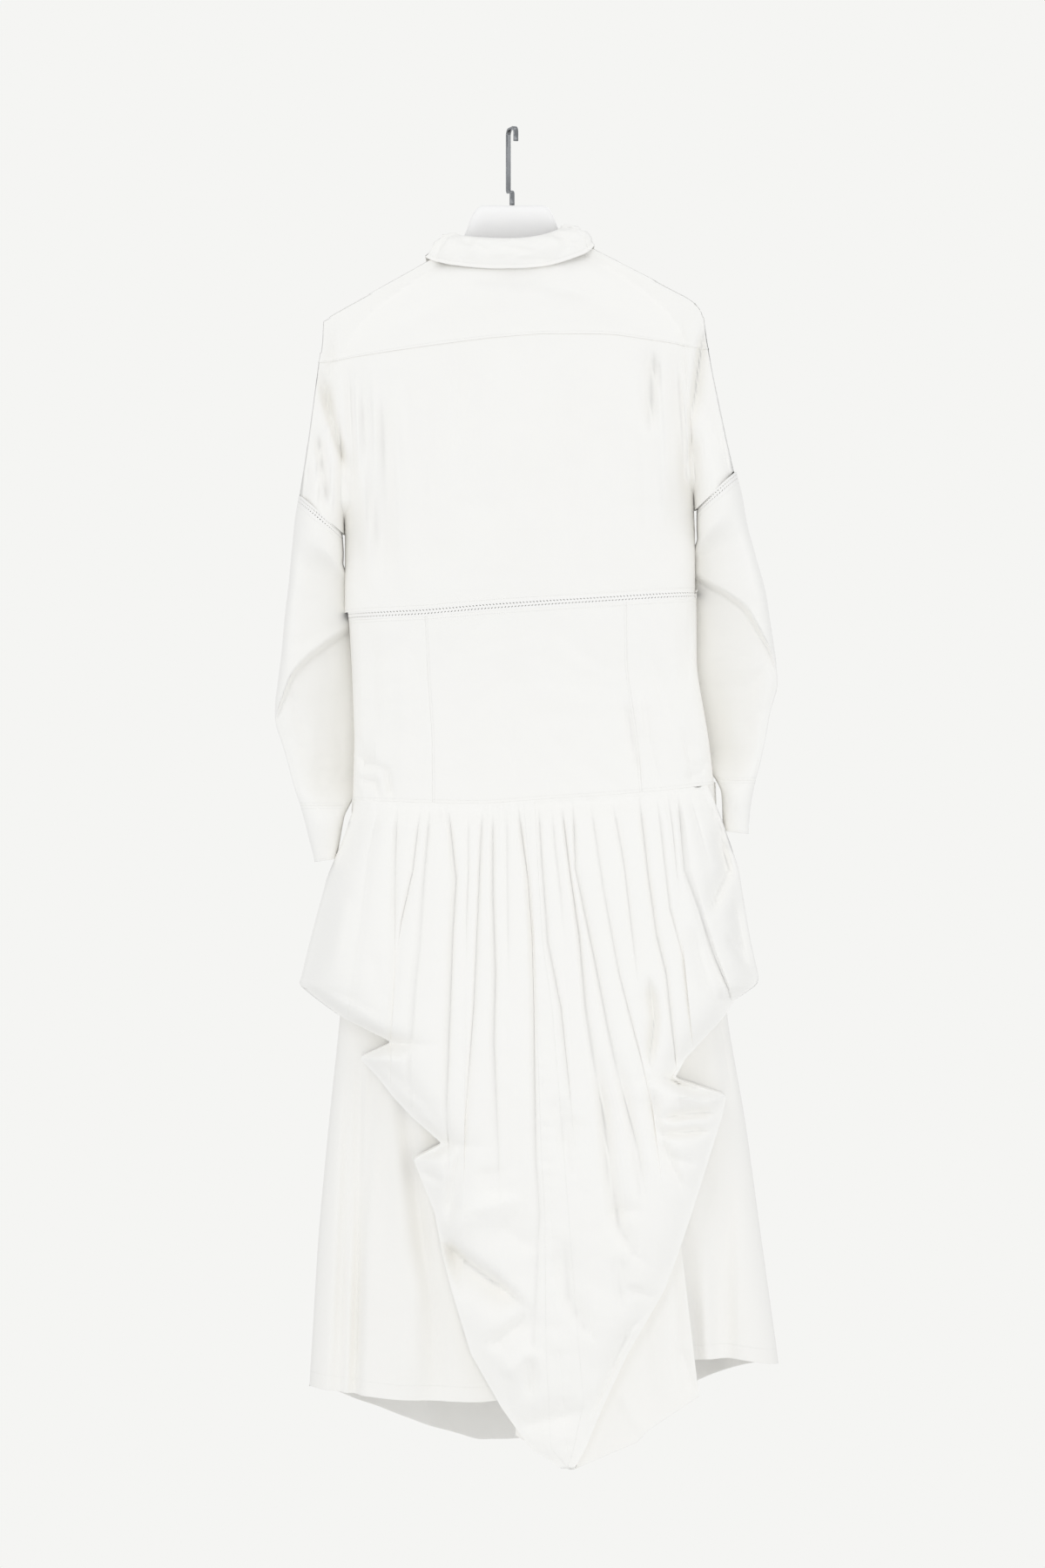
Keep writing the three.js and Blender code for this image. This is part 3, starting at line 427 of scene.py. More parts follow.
THREAD = plain("cotton_thread", (0.93, 0.925, 0.905), (0.87, 0.86, 0.83), 0.7, 1500.0)
LADDER = plain("ladder_cotton", (0.96, 0.948, 0.915), (0.935, 0.92, 0.885), 0.8, 1200.0, bump=0.3)
SHELL = plain("white_button", (0.93, 0.925, 0.91), (0.87, 0.86, 0.84), 0.25, 220.0, bump=0.03)
MOULDED = plain("white_plastic", (0.98, 0.967, 0.945), (0.97, 0.957, 0.935), 0.45, 60.0, bump=0.03)
STEEL = plain("polished_steel", (0.34, 0.35, 0.36), (0.2, 0.205, 0.21), 0.12, 90.0, 1.0, 0.02)
# Near black: painted shade for the buttons' thread holes, which are dark discs, not holes cut through.
HOLE_SHADE = plain("thread_hole_painted_shade", (0.3, 0.29, 0.27), (0.2, 0.19, 0.18), 0.8, 400.0)
FLOOR = plain("pale_floor", (0.9, 0.9, 0.895), (0.89, 0.89, 0.885), 0.7, 3.0, bump=0.0)

# Camera, light and floor

camera = bpy.data.objects.new("camera", bpy.data.cameras.new("camera"))
scene.collection.objects.link(camera)
camera.location = (VIEW["x"] * MM, -EYE * MM, VIEW["z"] * MM)
camera.rotation_euler = (np.pi / 2, 0, 0)
camera.data.sensor_width = 36
camera.data.lens = 36 * EYE / PICTURE_TALL
camera.data.clip_end = 100
scene.camera = camera

LAMP = (0.985, 0.99, 1)


def soft_box(name, place, size, power, aim=(0, 0, -0.75)):
    """A square area light turned to a point of the dress."""
    light = bpy.data.lights.new(name, "AREA")
    light.size, light.energy, light.color = size, power, LAMP
    obj = bpy.data.objects.new(name, light)
    scene.collection.objects.link(obj)
    obj.location = place
    way = np.array(aim) - np.array(place)
    way = way / np.linalg.norm(way)
    obj.rotation_euler = (np.arccos(-way[2]), 0, np.arctan2(-way[0], way[1]))


soft_box("key", (-1.4, -3.9, 1.5), 1.9, 23)
soft_box("fill", (2.4, -3.7, -0.3), 2.2, 9)
soft_box("low", (0.1, -2.6, -2.05), 1.4, 8, (0, 0.1, -1.45))
soft_box("left_side", (-3.2, -0.9, -0.6), 2.2, 11)
soft_box("right_side", (3.2, -0.9, -0.6), 2.2, 13)
soft_box("top", (0, -0.9, 2.2), 2.0, 8, (0, 0, -0.2))
soft_box("far_side", (0.6, 4.0, 1.0), 2.2, 24)

DAYLIGHT = (0.96, 0.975, 1, 1)
DAYLIGHT_STRENGTH = 0.722
PAPER = (0.913, 0.913, 0.896, 1)  # the backdrop that the camera sees
world = bpy.data.worlds.new("studio")
scene.world = world
world.use_nodes = True
sky = world.node_tree
base = sky.nodes["Background"]
base.inputs["Color"].default_value = DAYLIGHT
base.inputs["Strength"].default_value = DAYLIGHT_STRENGTH
paper = sky.nodes.new("ShaderNodeBackground")
paper.inputs["Color"].default_value = PAPER
way = sky.nodes.new("ShaderNodeLightPath")
both = sky.nodes.new("ShaderNodeMixShader")
sky.links.new(way.outputs["Is Camera Ray"], both.inputs[0])
sky.links.new(base.outputs[0], both.inputs[1])
sky.links.new(paper.outputs[0], both.inputs[2])
sky.links.new(both.outputs[0], sky.nodes["World Output"].inputs[0])
scene.view_settings.view_transform = "Standard"

FLOOR_AT = -1790
FLOOR_WIDE = 560
FLOOR_THICK = 12
angle = np.linspace(0, 2 * np.pi, 96, endpoint=False)
rim = stack(FLOOR_WIDE * np.cos(angle), FLOOR_WIDE * np.sin(angle), FLOOR_AT + 0 * angle)
rings = np.stack([rim - (0, 0, FLOOR_THICK), rim])
floor = add_mesh("floor", rings, tube_faces(2, 96), smooth=False)
floor.data.materials.append(FLOOR)

# The solids' own sizes

SHOULDER = table("x z", [
    (-216, -222), (-200, -212), (-98, -154), (-73, -139), (0, -98),
    (69, -126), (97, -141), (170, -179), (200, -195), (212, -204), (218, -214), (222, -229)])
UPPER = table("z outL foldL foldR outR", [
    (-205, -216, -200, 195, 218), (-246, -218, -200, 197, 224), (-281, -223, -199, 200, 230),
    (-351, -233, -196, 205, 245), (-418, -244, -193, 208, 261), (-463, -252, -192, 210, 270)])
BODY = table("z left right back front", [
    (-150, -200, 195, 60, 64), (-262, -199, 199, 62, 66), (-370, -195, 206, 66, 70),
    (-463, -192, 210, 67, 70), (-553, -188, 212, 65, 68), (-620, -184, 212, 63, 67),
    (-700, -181, 226, 65, 68), (-772, -183, 234, 70, 72)])
SKIRT = table("z left right back front", [
    (-756, -183, 234, 68, 71), (-850, -187, 236, 70, 78), (-1016, -197, 246, 74, 90),
    (-1138, -210, 268, 78, 100), (-1265, -222, 285, 82, 108), (-1415, -231, 306, 86, 116),
    (-1530, -238, 318, 88, 120)])
LINES = table("x yoke band waist", [
    (-218, -270, -556, -768), (-183, -264, -554, -770), (-100, -253, -551, -773),
    (-28, -244, -545, -774), (32, -239, -541, -769), (112, -239, -536, -764),
    (182, -248, -531, -758), (234, -257, -528, -752)])
HEM = table("x back front", [
    (-238, -1440, -1440), (-190, -1444, -1462), (-130, -1449, -1490), (-40, -1450, -1522),
    (60, -1440, -1516), (130, -1425, -1492), (200, -1404, -1456), (250, -1404, -1432),
    (307, -1416, -1416)])
NECK = {"x": -2.5, "half": 71.5, "back": -161, "front": -205}
BAND = 11
PLACKET = 28
CAP_LAP = 3.2  # of the sleeve's openwork that the dropped shoulder covers
YOKE_LAP = 1.5  # of the back panel that the yoke covers
YOKE_LIFT = 0.55  # of its sewn edge above that panel
LAPPED = 0.8  # of the openwork's edge that the cloth beside it covers
BUTTON = 11
ROUND = 70
ARMPIT = {"x": (-192, 210), "z": (-463, -434), "out": (-418, -391)}
UPPER_OUT = (-244, 261)
ARMPIT_Z = -430
CAP_TOP = -240
CAP_DEPTH = 62
FOLD_FLOOR = 34  # half depth left in the fold between the body and a dropped shoulder
BAND_Z, WAIST_Z, HEM_Z = -553, -772, -1415
FRONT_SPLIT = 0.495

# Creases of the body, placed as the camera sees them on the hanger's plane

BACK_CREASES = table(CREASE, [
    (-222, -283, -190, -395, 5.2, 6.5, 3.6), (-222, -350, -212, -445, 4, 5.8, 3.6),
    (-205, -230, -214, -330, 2.9, 5.8, 7.2), (-186, -268, -182, -420, 3.4, 3.6, 7.2),
    (-178, -262, -150, -520, 3.4, 8.6, 5), (-160, -268, -166, -500, -1.8, 7.2, 7.2),
    (-150, -275, -140, -560, 2.5, 10.1, 6.5), (-132, -300, -128, -540, -1.4, 10.1, 10.1),
    (-95, -290, -98, -520, 1.4, 14.4, 10.1), (-40, -280, -46, -470, 1.1, 15.8, 13),
    (-14, -250, -20, -430, -1, 14.4, 14.4), (60, -270, 66, -500, 1.3, 14.4, 11.5),
    (112, -300, 108, -540, 1.4, 13, 15.8), (164, -250, 158, -350, 4.1, 3.6, 7.9),
    (176, -255, 172, -470, -2.1, 7.2, 7.2), (188, -262, 202, -430, 4.6, 4.3, 7.2),
    (220, -228, 205, -342, 5.2, 7.2, 4.3), (212, -345, 210, -430, 3.4, 4.3, 5.8),
    (-150, -200, -60, -170, 1.4, 10.1, 14.4), (60, -165, 150, -200, 1.1, 13, 10.1),
    (-60, -178, 40, -186, 0.9, 7.2, 10.1), (30, -178, 96, -190, -0.9, 5.8, 7.2)])
LOW_CREASES = table(CREASE, [
    (-176, -700, -150, -775, 3, 4.3, 7.2), (-186, -715, -140, -738, 2.1, 3.6, 5.8),
    (-184, -742, -150, -752, 1.8, 2.9, 5), (-160, -560, -158, -700, 1.6, 7.2, 10.1),
    (-143, -731, -138, -768, 2.5, 2.9, 5), (-120, -600, -128, -760, -1.4, 10.1, 10.1),
    (-70, -570, -84, -700, 1.1, 13, 15.8), (0, -600, -6, -740, 1, 17.3, 17.3),
    (60, -580, 66, -720, -1, 14.4, 17.3), (129, -651, 148, -752, 2.3, 3.6, 6.5),
    (146, -648, 150, -700, -1.4, 5, 5.8), (160, -600, 186, -690, 1.5, 8.6, 6.5),
    (196, -690, 214, -760, 2.5, 5.8, 3.6), (226, -700, 242, -752, 2.8, 3.6, 5),
    (232, -720, 200, -750, 1.8, 3.6, 5.8), (205, -560, 200, -650, 1.6, 5.8, 7.2)])
FRONT_CREASES = table(CREASE, [
    (-205, -250, -192, -420, 4.0, 8, 6), (-150, -300, -140, -520, 1.8, 12, 10),
    (-80, -330, -86, -520, 1.2, 18, 14), (96, -320, 90, -520, 1.4, 16, 18),
    (160, -290, 150, -500, 2.2, 9, 13), (205, -240, 206, -400, 4.0, 7, 9),
    (-160, -640, -140, -765, 2.0, 7, 11), (150, -650, 160, -760, 2.0, 7, 9)])

# Sharper folds of the back, each a run of points, its depth and its width below and above.
BACK_FOLDS = [
    (((-223, -262), (-206, -330), (-192, -396)), 5, 6, 4),
    (((-223, -345), (-212, -446)), 4, 5, 4),
    (((-162, -262), (-150, -340), (-142, -430)), 2.6, 5, 4),
    (((-128, -270), (-118, -300), (-117, -420)), 2.4, 5, 6),
    (((195, -218), (204, -341), (209, -436)), 5, 4, 5),
    (((222, -222), (205, -345)), 4, 5, 4),
    (((165, -246), (160, -356)), 1.8, 4, 5),
    (((174, -255), (186, -400)), 3.2, 4, 6),
    (((146, -330), (150, -500)), 2, 5, 6),
    (((-60, -262), (-66, -380)), 1.6, 7, 7),
    (((-176, -470), (-172, -546)), 2, 5, 5)]
LOW_FOLDS = [
    (((-182, -706), (-170, -740), (-166, -778)), 2, 4, 3),
    (((-98, -556), (-99, -776)), -0.5, 2, 2),
    (((150, -650), (158, -700), (176, -776)), 2.4, 4, 5),
    (((222, -700), (232, -735), (238, -778)), 3, 4, 3),
    (((206, -706), (214, -760)), 2.4, 4, 4),
    (((196, -740), (232, -768)), 2.2, 3, 4)]


def shoulder(x):
    return read(SHOULDER, "x", "z", x, 2.0)


def line(column, x):
    return read(LINES, "x", column, x, 12)


def across(x, left, right):
    """Place across a width, from -1 to 1."""
    return (x - (left + right) / 2) / ((right - left) / 2)


def upper_plain(side, x, z):
    """Half depth of the upper body: one dome at the shoulders, which parts into three, for the body
    and the two dropped shoulders, towards the armpits."""
    out_l, fold_l, fold_r, out_r = at_height(UPPER, z, "outL foldL foldR outR")
    deep = read(BODY, "z", "back" if side < 0 else "front", z)
    armpit = np.where(x < 0, ARMPIT["z"][0], ARMPIT["z"][1])
    whole = deep * dome(across(x, out_l, out_r), 2.4)
    parted = deep * dome(across(x, fold_l, fold_r), 2.6)
    parted = np.where(x < fold_l, CAP_DEPTH * dome(across(x, out_l, fold_l), 2), parted)
    parted = np.where(x > fold_r, CAP_DEPTH * dome(across(x, fold_r, out_r), 2), parted)
    below = np.clip((shoulder(x) - z) / ROUND, 0, 1)
    rounded = np.sqrt(1 - (1 - below) ** 2)
    least = mix(FOLD_FLOOR, EDGE, ease(armpit + 36, armpit + 2, z))
    inside = (x > out_l + 1) & (x < out_r - 1) & (below > 0.02)
    opening = ease(CAP_TOP - 20, armpit - 6, z) ** 2.6
    return np.maximum(np.where(inside, least, EDGE), mix(whole, parted, opening) * rounded)


def upper_depth(side, x, z):
    """The plain depth with its creases and a faint crumple, both dying out at the side edges."""
    plain_depth = upper_plain(side, x, z)
    px, pz = seen(x, z, -side * plain_depth)
    drawn = creases(px, pz, BACK_CREASES if side < 0 else FRONT_CREASES)
    drawn = DRAWN["upper"] * drawn + 1.6 * crumple(x, z * 0.6, 90, 11 + side) + 0.4 * noise(x, z, 16, 5)
    if side < 0:
        drawn = drawn + folds(px, pz, BACK_FOLDS, 1.2)
    return np.maximum(EDGE, plain_depth - drawn * ease(2, 34, plain_depth))


def lower_depth(side, x, z):
    """Half depth of the body below the openwork band, creased like the upper body."""
    left, right = at_height(BODY, z, "left right", 20)
    depth = read(BODY, "z", "back" if side < 0 else "front", z, 20) * dome(across(x, left, right), 2.6)
    px, pz = seen(x, z, -side * depth)
    drawn = creases(px, pz, LOW_CREASES if side < 0 else FRONT_CREASES)
    hip = ease(-660, -760, z) * ease(0.62, 0.95, np.abs(across(x, left, right)))
    drawn = DRAWN["lower"] * drawn + (1.4 + 3.2 * hip) * crumple(x, z, 60, 23 + side)
    drawn = drawn + 0.3 * noise(x, z, 14, 6)
    if side < 0:
        drawn = drawn + folds(px, pz, LOW_FOLDS, 1.2)
    return np.maximum(EDGE, depth - drawn * ease(2, 34, depth))


def neckline(angle):
    """Neckline at an angle from the centre back: an ellipse's plan, on the back or front panel."""
    x = NECK["x"] + NECK["half"] * np.sin(angle)
    ends = shoulder(NECK["x"] + NECK["half"] * np.where(np.sin(angle) < 0, -1, 1))
    back = np.cos(angle) > 0
    low = np.where(back, NECK["back"], NECK["front"])
    z = low + (ends - low) * (1 - np.abs(np.cos(angle)))
    y = np.where(back, -upper_plain(-1, x, z), upper_plain(1, x, z))
    return x, y, z


def upper_columns(side, cap=14, slope=26, neck=64):
    """Columns of an upper panel, left to right: dropped shoulder, shoulder, neck and so back. Gives
    each column's place at the top, its kind, its share of that stretch and the height of its top."""
    out_l, fold_l, fold_r, out_r = (UPPER[c][0] for c in ("outL", "foldL", "foldR", "outR"))
    caps = settle(np.linspace(0, 1, cap + 1))
    inward = 1 - np.cos(np.pi / 2 * np.linspace(0, 1, slope + 1))
    ends = NECK["x"] - NECK["half"], NECK["x"] + NECK["half"]
    body = np.concatenate([mix(fold_l, ends[0], inward)[:-1],
                           NECK["x"] - NECK["half"] * np.cos(np.pi * np.linspace(0, 1, neck + 1)),
                           mix(fold_r, ends[1], inward[::-1])[1:]])
    nominal = np.concatenate([mix(out_l, fold_l, caps)[:-1], body, mix(fold_r, out_r, caps)[1:]])
    kind = np.concatenate([np.zeros(cap), np.ones(len(body)), np.full(cap, 2)])
    share = np.concatenate([caps[:-1], (body - fold_l) / (fold_r - fold_l), caps[1:]])
    turn = np.arcsin(np.clip((nominal - NECK["x"]) / NECK["half"], -1, 1))
    at_neck = np.abs(nominal - NECK["x"]) < NECK["half"] * 0.999
    top = np.where(at_neck, neckline(turn if side < 0 else np.pi - turn)[2], shoulder(nominal))
    return nominal, kind, share, top


def column_x(kind, share, z):
    """Where the columns stand at a height."""
    out_l, fold_l, fold_r, out_r = at_height(UPPER, z, "outL foldL foldR outR", 8)
    cap_l, body, cap_r = mix(out_l, fold_l, share), mix(fold_l, fold_r, share), mix(fold_r, out_r, share)
    return np.where(kind == 0, cap_l, np.where(kind == 1, body, cap_r))


def cap_end(x):
    """Height at which a column leaves the dropped shoulder or passes the armpit."""
    keys = [UPPER_OUT[0], ARMPIT["x"][0], ARMPIT["x"][1], UPPER_OUT[1]]
    return np.interp(x, keys, [ARMPIT["out"][0], *ARMPIT["z"], ARMPIT["out"][1]])


def stretch(rows, top, bottom, kind, share, side):
    """Rows of points between two heights given for each column."""
    z = mix(top[None, :], bottom[None, :], rows[:, None])
    x = column_x(kind[None, :], share[None, :], z)
    return stack(x, side * upper_depth(side, x, z), z)


def panel(side, kind, share, top, rows):
    """Two stretches of an upper panel: to the lower edges of the dropped shoulders, and on to the
    openwork. Gives its points and which of its cells are cloth."""
    end = cap_end(column_x(kind, share, ARMPIT_Z)) - CAP_LAP
    band_top = line("band", column_x(kind, share, BAND_Z)) - LAPPED
    grid = np.concatenate([stretch(rows[0], top, end, kind, share, side),
                           stretch(rows[1], end, band_top, kind, share, side)])
    keep = np.ones((len(grid) - 1, len(kind) - 1), bool)
    keep[len(rows[0]) - 1:] = (kind[:-1] == 1) & (kind[1:] == 1)
    return grid, keep


nominal, kind, share, top = upper_columns(-1)
yoke_seam = line("yoke", nominal)
rows = np.concatenate([spread(34, 110)[:-1], [1]])
yoke = stretch(rows, top, yoke_seam - YOKE_LAP, kind, share, -1)
yoke = yoke + outward(yoke) * (YOKE_LIFT * ease(0.9, 1, rows))[:, None, None]
cloth("back_yoke", yoke)
sewing.sew(yoke, [-5])

back, keep = panel(-1, kind, share, yoke_seam - EDGE,
                   (spread(60, 180, (True, False)), spread(40, 100, (False, True))[1:]))
back = tuck(back, "t", 0.35, 1.0)
cloth("back_upper", back, keep=keep)
sewing.run(back[-5][kind == 1], outward(back)[-5][kind == 1])

nominal, kind, share, top = upper_columns(1)
front, keep = panel(1, kind, share, top, (np.linspace(0, 1, 70) ** 1.3, spread(28, 100, (False, True))[1:]))
middle = len(nominal) // 2
for hand, cut, cells in (("left", slice(0, middle + 1), slice(0, middle)),
                         ("right", slice(middle, None), slice(middle, None))):
    cloth(f"front_upper_{hand}", front[:, cut][:, ::-1], keep=keep[:, cells][:, ::-1])
sewing.run(front[-5][kind == 1], outward(front[:, ::-1])[:, ::-1][-5][kind == 1])


# Lower body and its two seams

def body_x(share, z, soft=20):
    """Place at a share of the body's width, at a height."""
    return mix(*at_height(BODY, z, "left right", soft), share)


def lower_grid(side, shares, rows, top, bottom):
    """Rows of points over the lower body's back or front, between heights for each share across."""
    z = mix(top[None, :], bottom[None, :], rows[:, None])
    x = body_x(shares[None, :], z)
    grid = stack(x, side * lower_depth(side, x, z), z)
    return grid if side < 0 else grid[:, ::-1]


BACK_SEAMS = (0.2225, 0.795)
HALF_ROUND = 560  # of cloth from one side seam to the other
for side, ends, names in ((-1, (0, *BACK_SEAMS, 1), ("left", "centre", "right")),
                          (1, (0, FRONT_SPLIT, 1), ("left", "right"))):
    for first, last, name in zip(ends, ends[1:], names):
        wide = HALF_ROUND * (last - first)
        shares = mix(first, last, spread(int(26 + wide / 7), wide, (first > 0, last < 1)))
        shares = np.where((shares < 0.06) | (shares > 0.94), settle(shares) * 0.5 + shares * 0.5, shares)
        heights = spread(64 if side < 0 else 44, 210)
        grid = lower_grid(side, shares, heights, line("band", body_x(shares, BAND_Z, 0)) - BAND + LAPPED,
                          line("waist", body_x(shares, WAIST_Z, 0)) + EDGE)
        sewn = ("l" if first > 0 else "") + ("r" if last < 1 else "")
        if side > 0:
            sewn = sewn.translate(str.maketrans("lr", "rl"))
        grid = tuck(tuck(grid, sewn, 0.45), "b", 0.2)
        cloth(f"lower_{'back' if side < 0 else 'front'}_{name}", grid)
        sewing.sew(grid, (4, -5), (4, -5) if name == "centre" else ())


# Openwork: two rows of small holes between three bands of thread

LADDER_PITCH = 3.8
LADDER_BAR = 2.8
LADDER_RAIL = 2.75


def ladder(name, place, around):
    """Thread bars and rails. place(s, d) gives points and normals at share s of the way and distance
    d down the band; around is the way's length. Every strand is a bar of eight corners per step."""
    count = int(around / LADDER_PITCH)
    blocks = []

    def bars(corners, thick, lift):
        """Bars whose outer corners are four pairs of places, sunk by a thickness."""
        sides = []
        for rise in (0.0, -thick):
            for s, d in corners:
                point, normal = place(s, np.full(count, float(d)))
                sides.append(point + normal * (rise + lift))
        blocks.append(np.stack(sides, axis=1))

    mid = (np.arange(count) + 0.5) / count
    half = LADDER_BAR / 2 / around
    for way, d0, d1 in ((-1, 0.6, BAND / 2), (1, BAND / 2, BAND - 0.6)):
        first, last = mid + 0.25 / count * way - half, mid + 0.25 / count * way + half
        lean = half * 1.6 * way
        bars(((first + lean, d0), (first - lean, d1), (last - lean, d1), (last + lean, d0)), 0.7, -0.05)
    pieces = np.linspace(0, 1, count + 1)
    for d in (0, BAND / 2 - LADDER_RAIL / 2, BAND - LADDER_RAIL):
        low = d + LADDER_RAIL
        bars(((pieces[:-1], d), (pieces[:-1], low), (pieces[1:], low), (pieces[1:], d)), 0.9, 0.1)
    points = np.concatenate(blocks)
    box = np.array([[0, 1, 2, 3], [7, 6, 5, 4], [0, 4, 5, 1], [1, 5, 6, 2], [2, 6, 7, 3], [3, 7, 4, 0]])
    faces = box[None] + 8 * np.arange(len(points))[:, None, None]
    finish_piece(add_mesh(f"{name}_ladder", points, faces.reshape(-1, 4), smooth=False), LADDER, [name])


def along(grid, closed=False):
    """Turns a grid whose rows run down a band into the ladder's place function and its length."""
    normals = outward(grid)
    if closed:
        grid = np.concatenate([grid, grid[:, :1]], axis=1)
        normals = np.concatenate([normals, normals[:, :1]], axis=1)
    way = lengths(grid, 1)
    down = lengths(grid, 0)

    def place(s, d):
        col = np.interp(np.clip(s, 0, 1) * way[-1], way, np.arange(len(way)))
        row = np.interp(np.clip(d, 0, down[-1]), down, np.arange(len(down)))
        i, j = np.floor(row).astype(int), np.floor(col).astype(int)
        i, j = np.minimum(i, grid.shape[0] - 2), np.minimum(j, grid.shape[1] - 2)
        a, b = (row - i)[:, None], (col - j)[:, None]
        out = []
        for values in (grid, normals):
            high = mix(values[i, j], values[i, j + 1], b)
            low = mix(values[i + 1, j], values[i + 1, j + 1], b)
            out.append(mix(high, low, a))
        return out

    return place, way[-1]


for side, name in ((-1, "back"), (1, "front")):
    shares = settle(np.linspace(0, 1, 121))
    top = line("band", body_x(shares, BAND_Z, 0))
    z = top[None, :] - np.linspace(0, BAND, 4)[:, None]
    x = body_x(shares[None, :], z)
    blend = np.linspace(0, 1, 4)[:, None]
    grid = stack(x, side * mix(upper_depth(side, x, z), lower_depth(side, x, z), blend), z)
    grid = grid if side < 0 else grid[:, ::-1]
    ladder(f"openwork_{name}", *along(grid))

# Collar, placket and buttons

COLLAR = {
    "fold": {"across": 0.88, "back": 0.9, "front": 1.02, "z": (-131, -122, -112, -166)},
    "low": {"across": 1.34, "back": 1.05, "front": 1.24, "z": (-168, -150, -137, -212)},
    "stand_in": 4.5, "end": 2.93, "point": (58, 88, -244), "clear": 0.9, "roll": 6, "lift": 1.5,
    "radius": 75, "deep": 40}


COLLAR_CREASES = table(CREASE, [
    (-60, -128, -20, -150, 2.5, 4, 6), (-43, -136, 37, -150, 2.2, 4, 7), (-10, -128, 30, -146, -2, 5, 6),
    (40, -118, 85, -146, 3.2, 4, 7), (58, -112, 96, -132, -2.2, 4, 5), (-95, -150, -60, -160, 1.5, 3, 5),
    (0, -156, 60, -158, 1.6, 3, 5)])


def collar_ring(angle, ring, inner=0.0):
    """The neckline's plan, scaled across, to the back and to the front, at a height that eases from
    the back (first) by the left or right side to the front (last)."""
    x, y, _ = neckline(angle)
    px = (x - NECK["x"]) * ring["across"]
    py = y * np.where(y < 0, ring["back"], ring["front"])
    length = np.hypot(px, py)
    shrink = (length - inner) / length
    back, left, right, front = ring["z"]
    side = np.where(np.sin(angle) < 0, left, right)
    end = np.where(np.cos(angle) > 0, back, front)
    z = mix(side, end, np.abs(np.cos(angle)) ** 1.3)
    return stack(NECK["x"] + px * shrink, py * shrink, z)


angle = np.linspace(-np.pi + 0.01, np.pi - 0.01, 130)
top = collar_ring(angle, COLLAR["fold"], COLLAR["stand_in"]) - (0, 0, COLLAR["lift"])
foot = stack(*neckline(angle)) + (0, 0, 3 * SEAM)
down = np.linspace(0, 1, 12)[:, None, None]
cloth("collar_stand", mix(top[None], foot[None], down), thick=DOUBLE)

angle = np.linspace(-COLLAR["end"], COLLAR["end"], 240)[None, :]
down = np.linspace(0, 1, 34)[:, None]
top = collar_ring(angle, COLLAR["fold"], 1.0)
low = collar_ring(angle, COLLAR["low"])
px, py, pz = COLLAR["point"]
tip = stack(NECK["x"] + px * np.sign(angle), py + 0 * angle, pz + 0 * angle)
low = mix(low, tip, ease(2.0, COLLAR["end"], np.abs(angle))[..., None])
roll = COLLAR["roll"] * np.sin(np.pi * np.minimum(1, down * 1.15)) + COLLAR["lift"] * ease(0, 0.12, down)
fall = mix(top, low, down[..., None])
fall = fall + stack(roll * np.sin(angle) * 0.6, -roll * np.cos(angle), roll * 0.7)
side = np.sign(fall[..., 1])
under = np.maximum(upper_depth(-1, fall[..., 0], fall[..., 2]) * (side < 0),
                   upper_depth(1, fall[..., 0], fall[..., 2]) * (side > 0))
resting = (down > 0.3) & (under > 1)
fall[..., 1] = np.where(resting, side * np.maximum(np.abs(fall[..., 1]), under + COLLAR["clear"]),
                        fall[..., 1])
arc, drop = angle * COLLAR["radius"], down * COLLAR["deep"]
bend = 3.4 * crumple(arc * 0.8, drop, 30, 41) + 1.4 * noise(arc, drop, 22, 8)
bend = bend - creases(fall[..., 0], fall[..., 2], COLLAR_CREASES) * (side < 0)
fall = fall + outward(fall) * (bend * ease(0, 0.3, down) * ease(1.15, 0.75, down))[..., None]
cloth("collar_fall", fall, thick=0.9)
sewing.sew(fall, [-5])
for col in (3, -4):
    sewing.run(fall[:-4, col], outward(fall)[:-4, col])


def front_depth(x, z):
    """Depth of the front cloth, from the upper panels to the lower ones across the openwork."""
    return mix(upper_depth(1, x, z), lower_depth(1, x, z), ease(-536, -552, z))


PLACKET_TOP = NECK["front"] - 3
PLACKET_OUT = 1.5
FRONT_BUTTONS = 9
TOP_BUTTON = 34  # below the placket's top
LAST_BUTTON = 27  # above the waist seam
z = np.linspace(PLACKET_TOP, WAIST_Z + 2, 150)[:, None]
x = body_x(FRONT_SPLIT, z) + PLACKET * (0.5 - np.linspace(0, 1, 18)[None, :])
strip = stack(x, front_depth(x, z), z)
strip = strip + outward(strip) * PLACKET_OUT
cloth("placket", strip, thick=1.0)
sewing.sew(strip, (), (2, -3))


def turned(points, foot, normal):
    """Points about +Z as the normal, set at a foot."""
    n = normal / np.linalg.norm(normal)
    up = np.array([0, 0, 1.0]) if abs(n[2]) < 0.9 else np.array([1.0, 0, 0])
    a = np.cross(up, n)
    a /= np.linalg.norm(a)
    b = np.cross(n, a)
    return points[..., :1] * a + points[..., 1:2] * b + points[..., 2:] * n + foot


HOLE = 0.75  # a thread hole's radius, and of the dark disc of painted shade in it
HOLE_OFF = 1.35  # a hole's middle from the button's, across and up
HOLE_AT = 1.34  # just above the button's face
HOLES = np.array([(s * HOLE_OFF, t * HOLE_OFF) for s in (-1, 1) for t in (-1, 1)])
# Dark discs of painted shade, one in each thread hole.
shaded_hole_discs = []


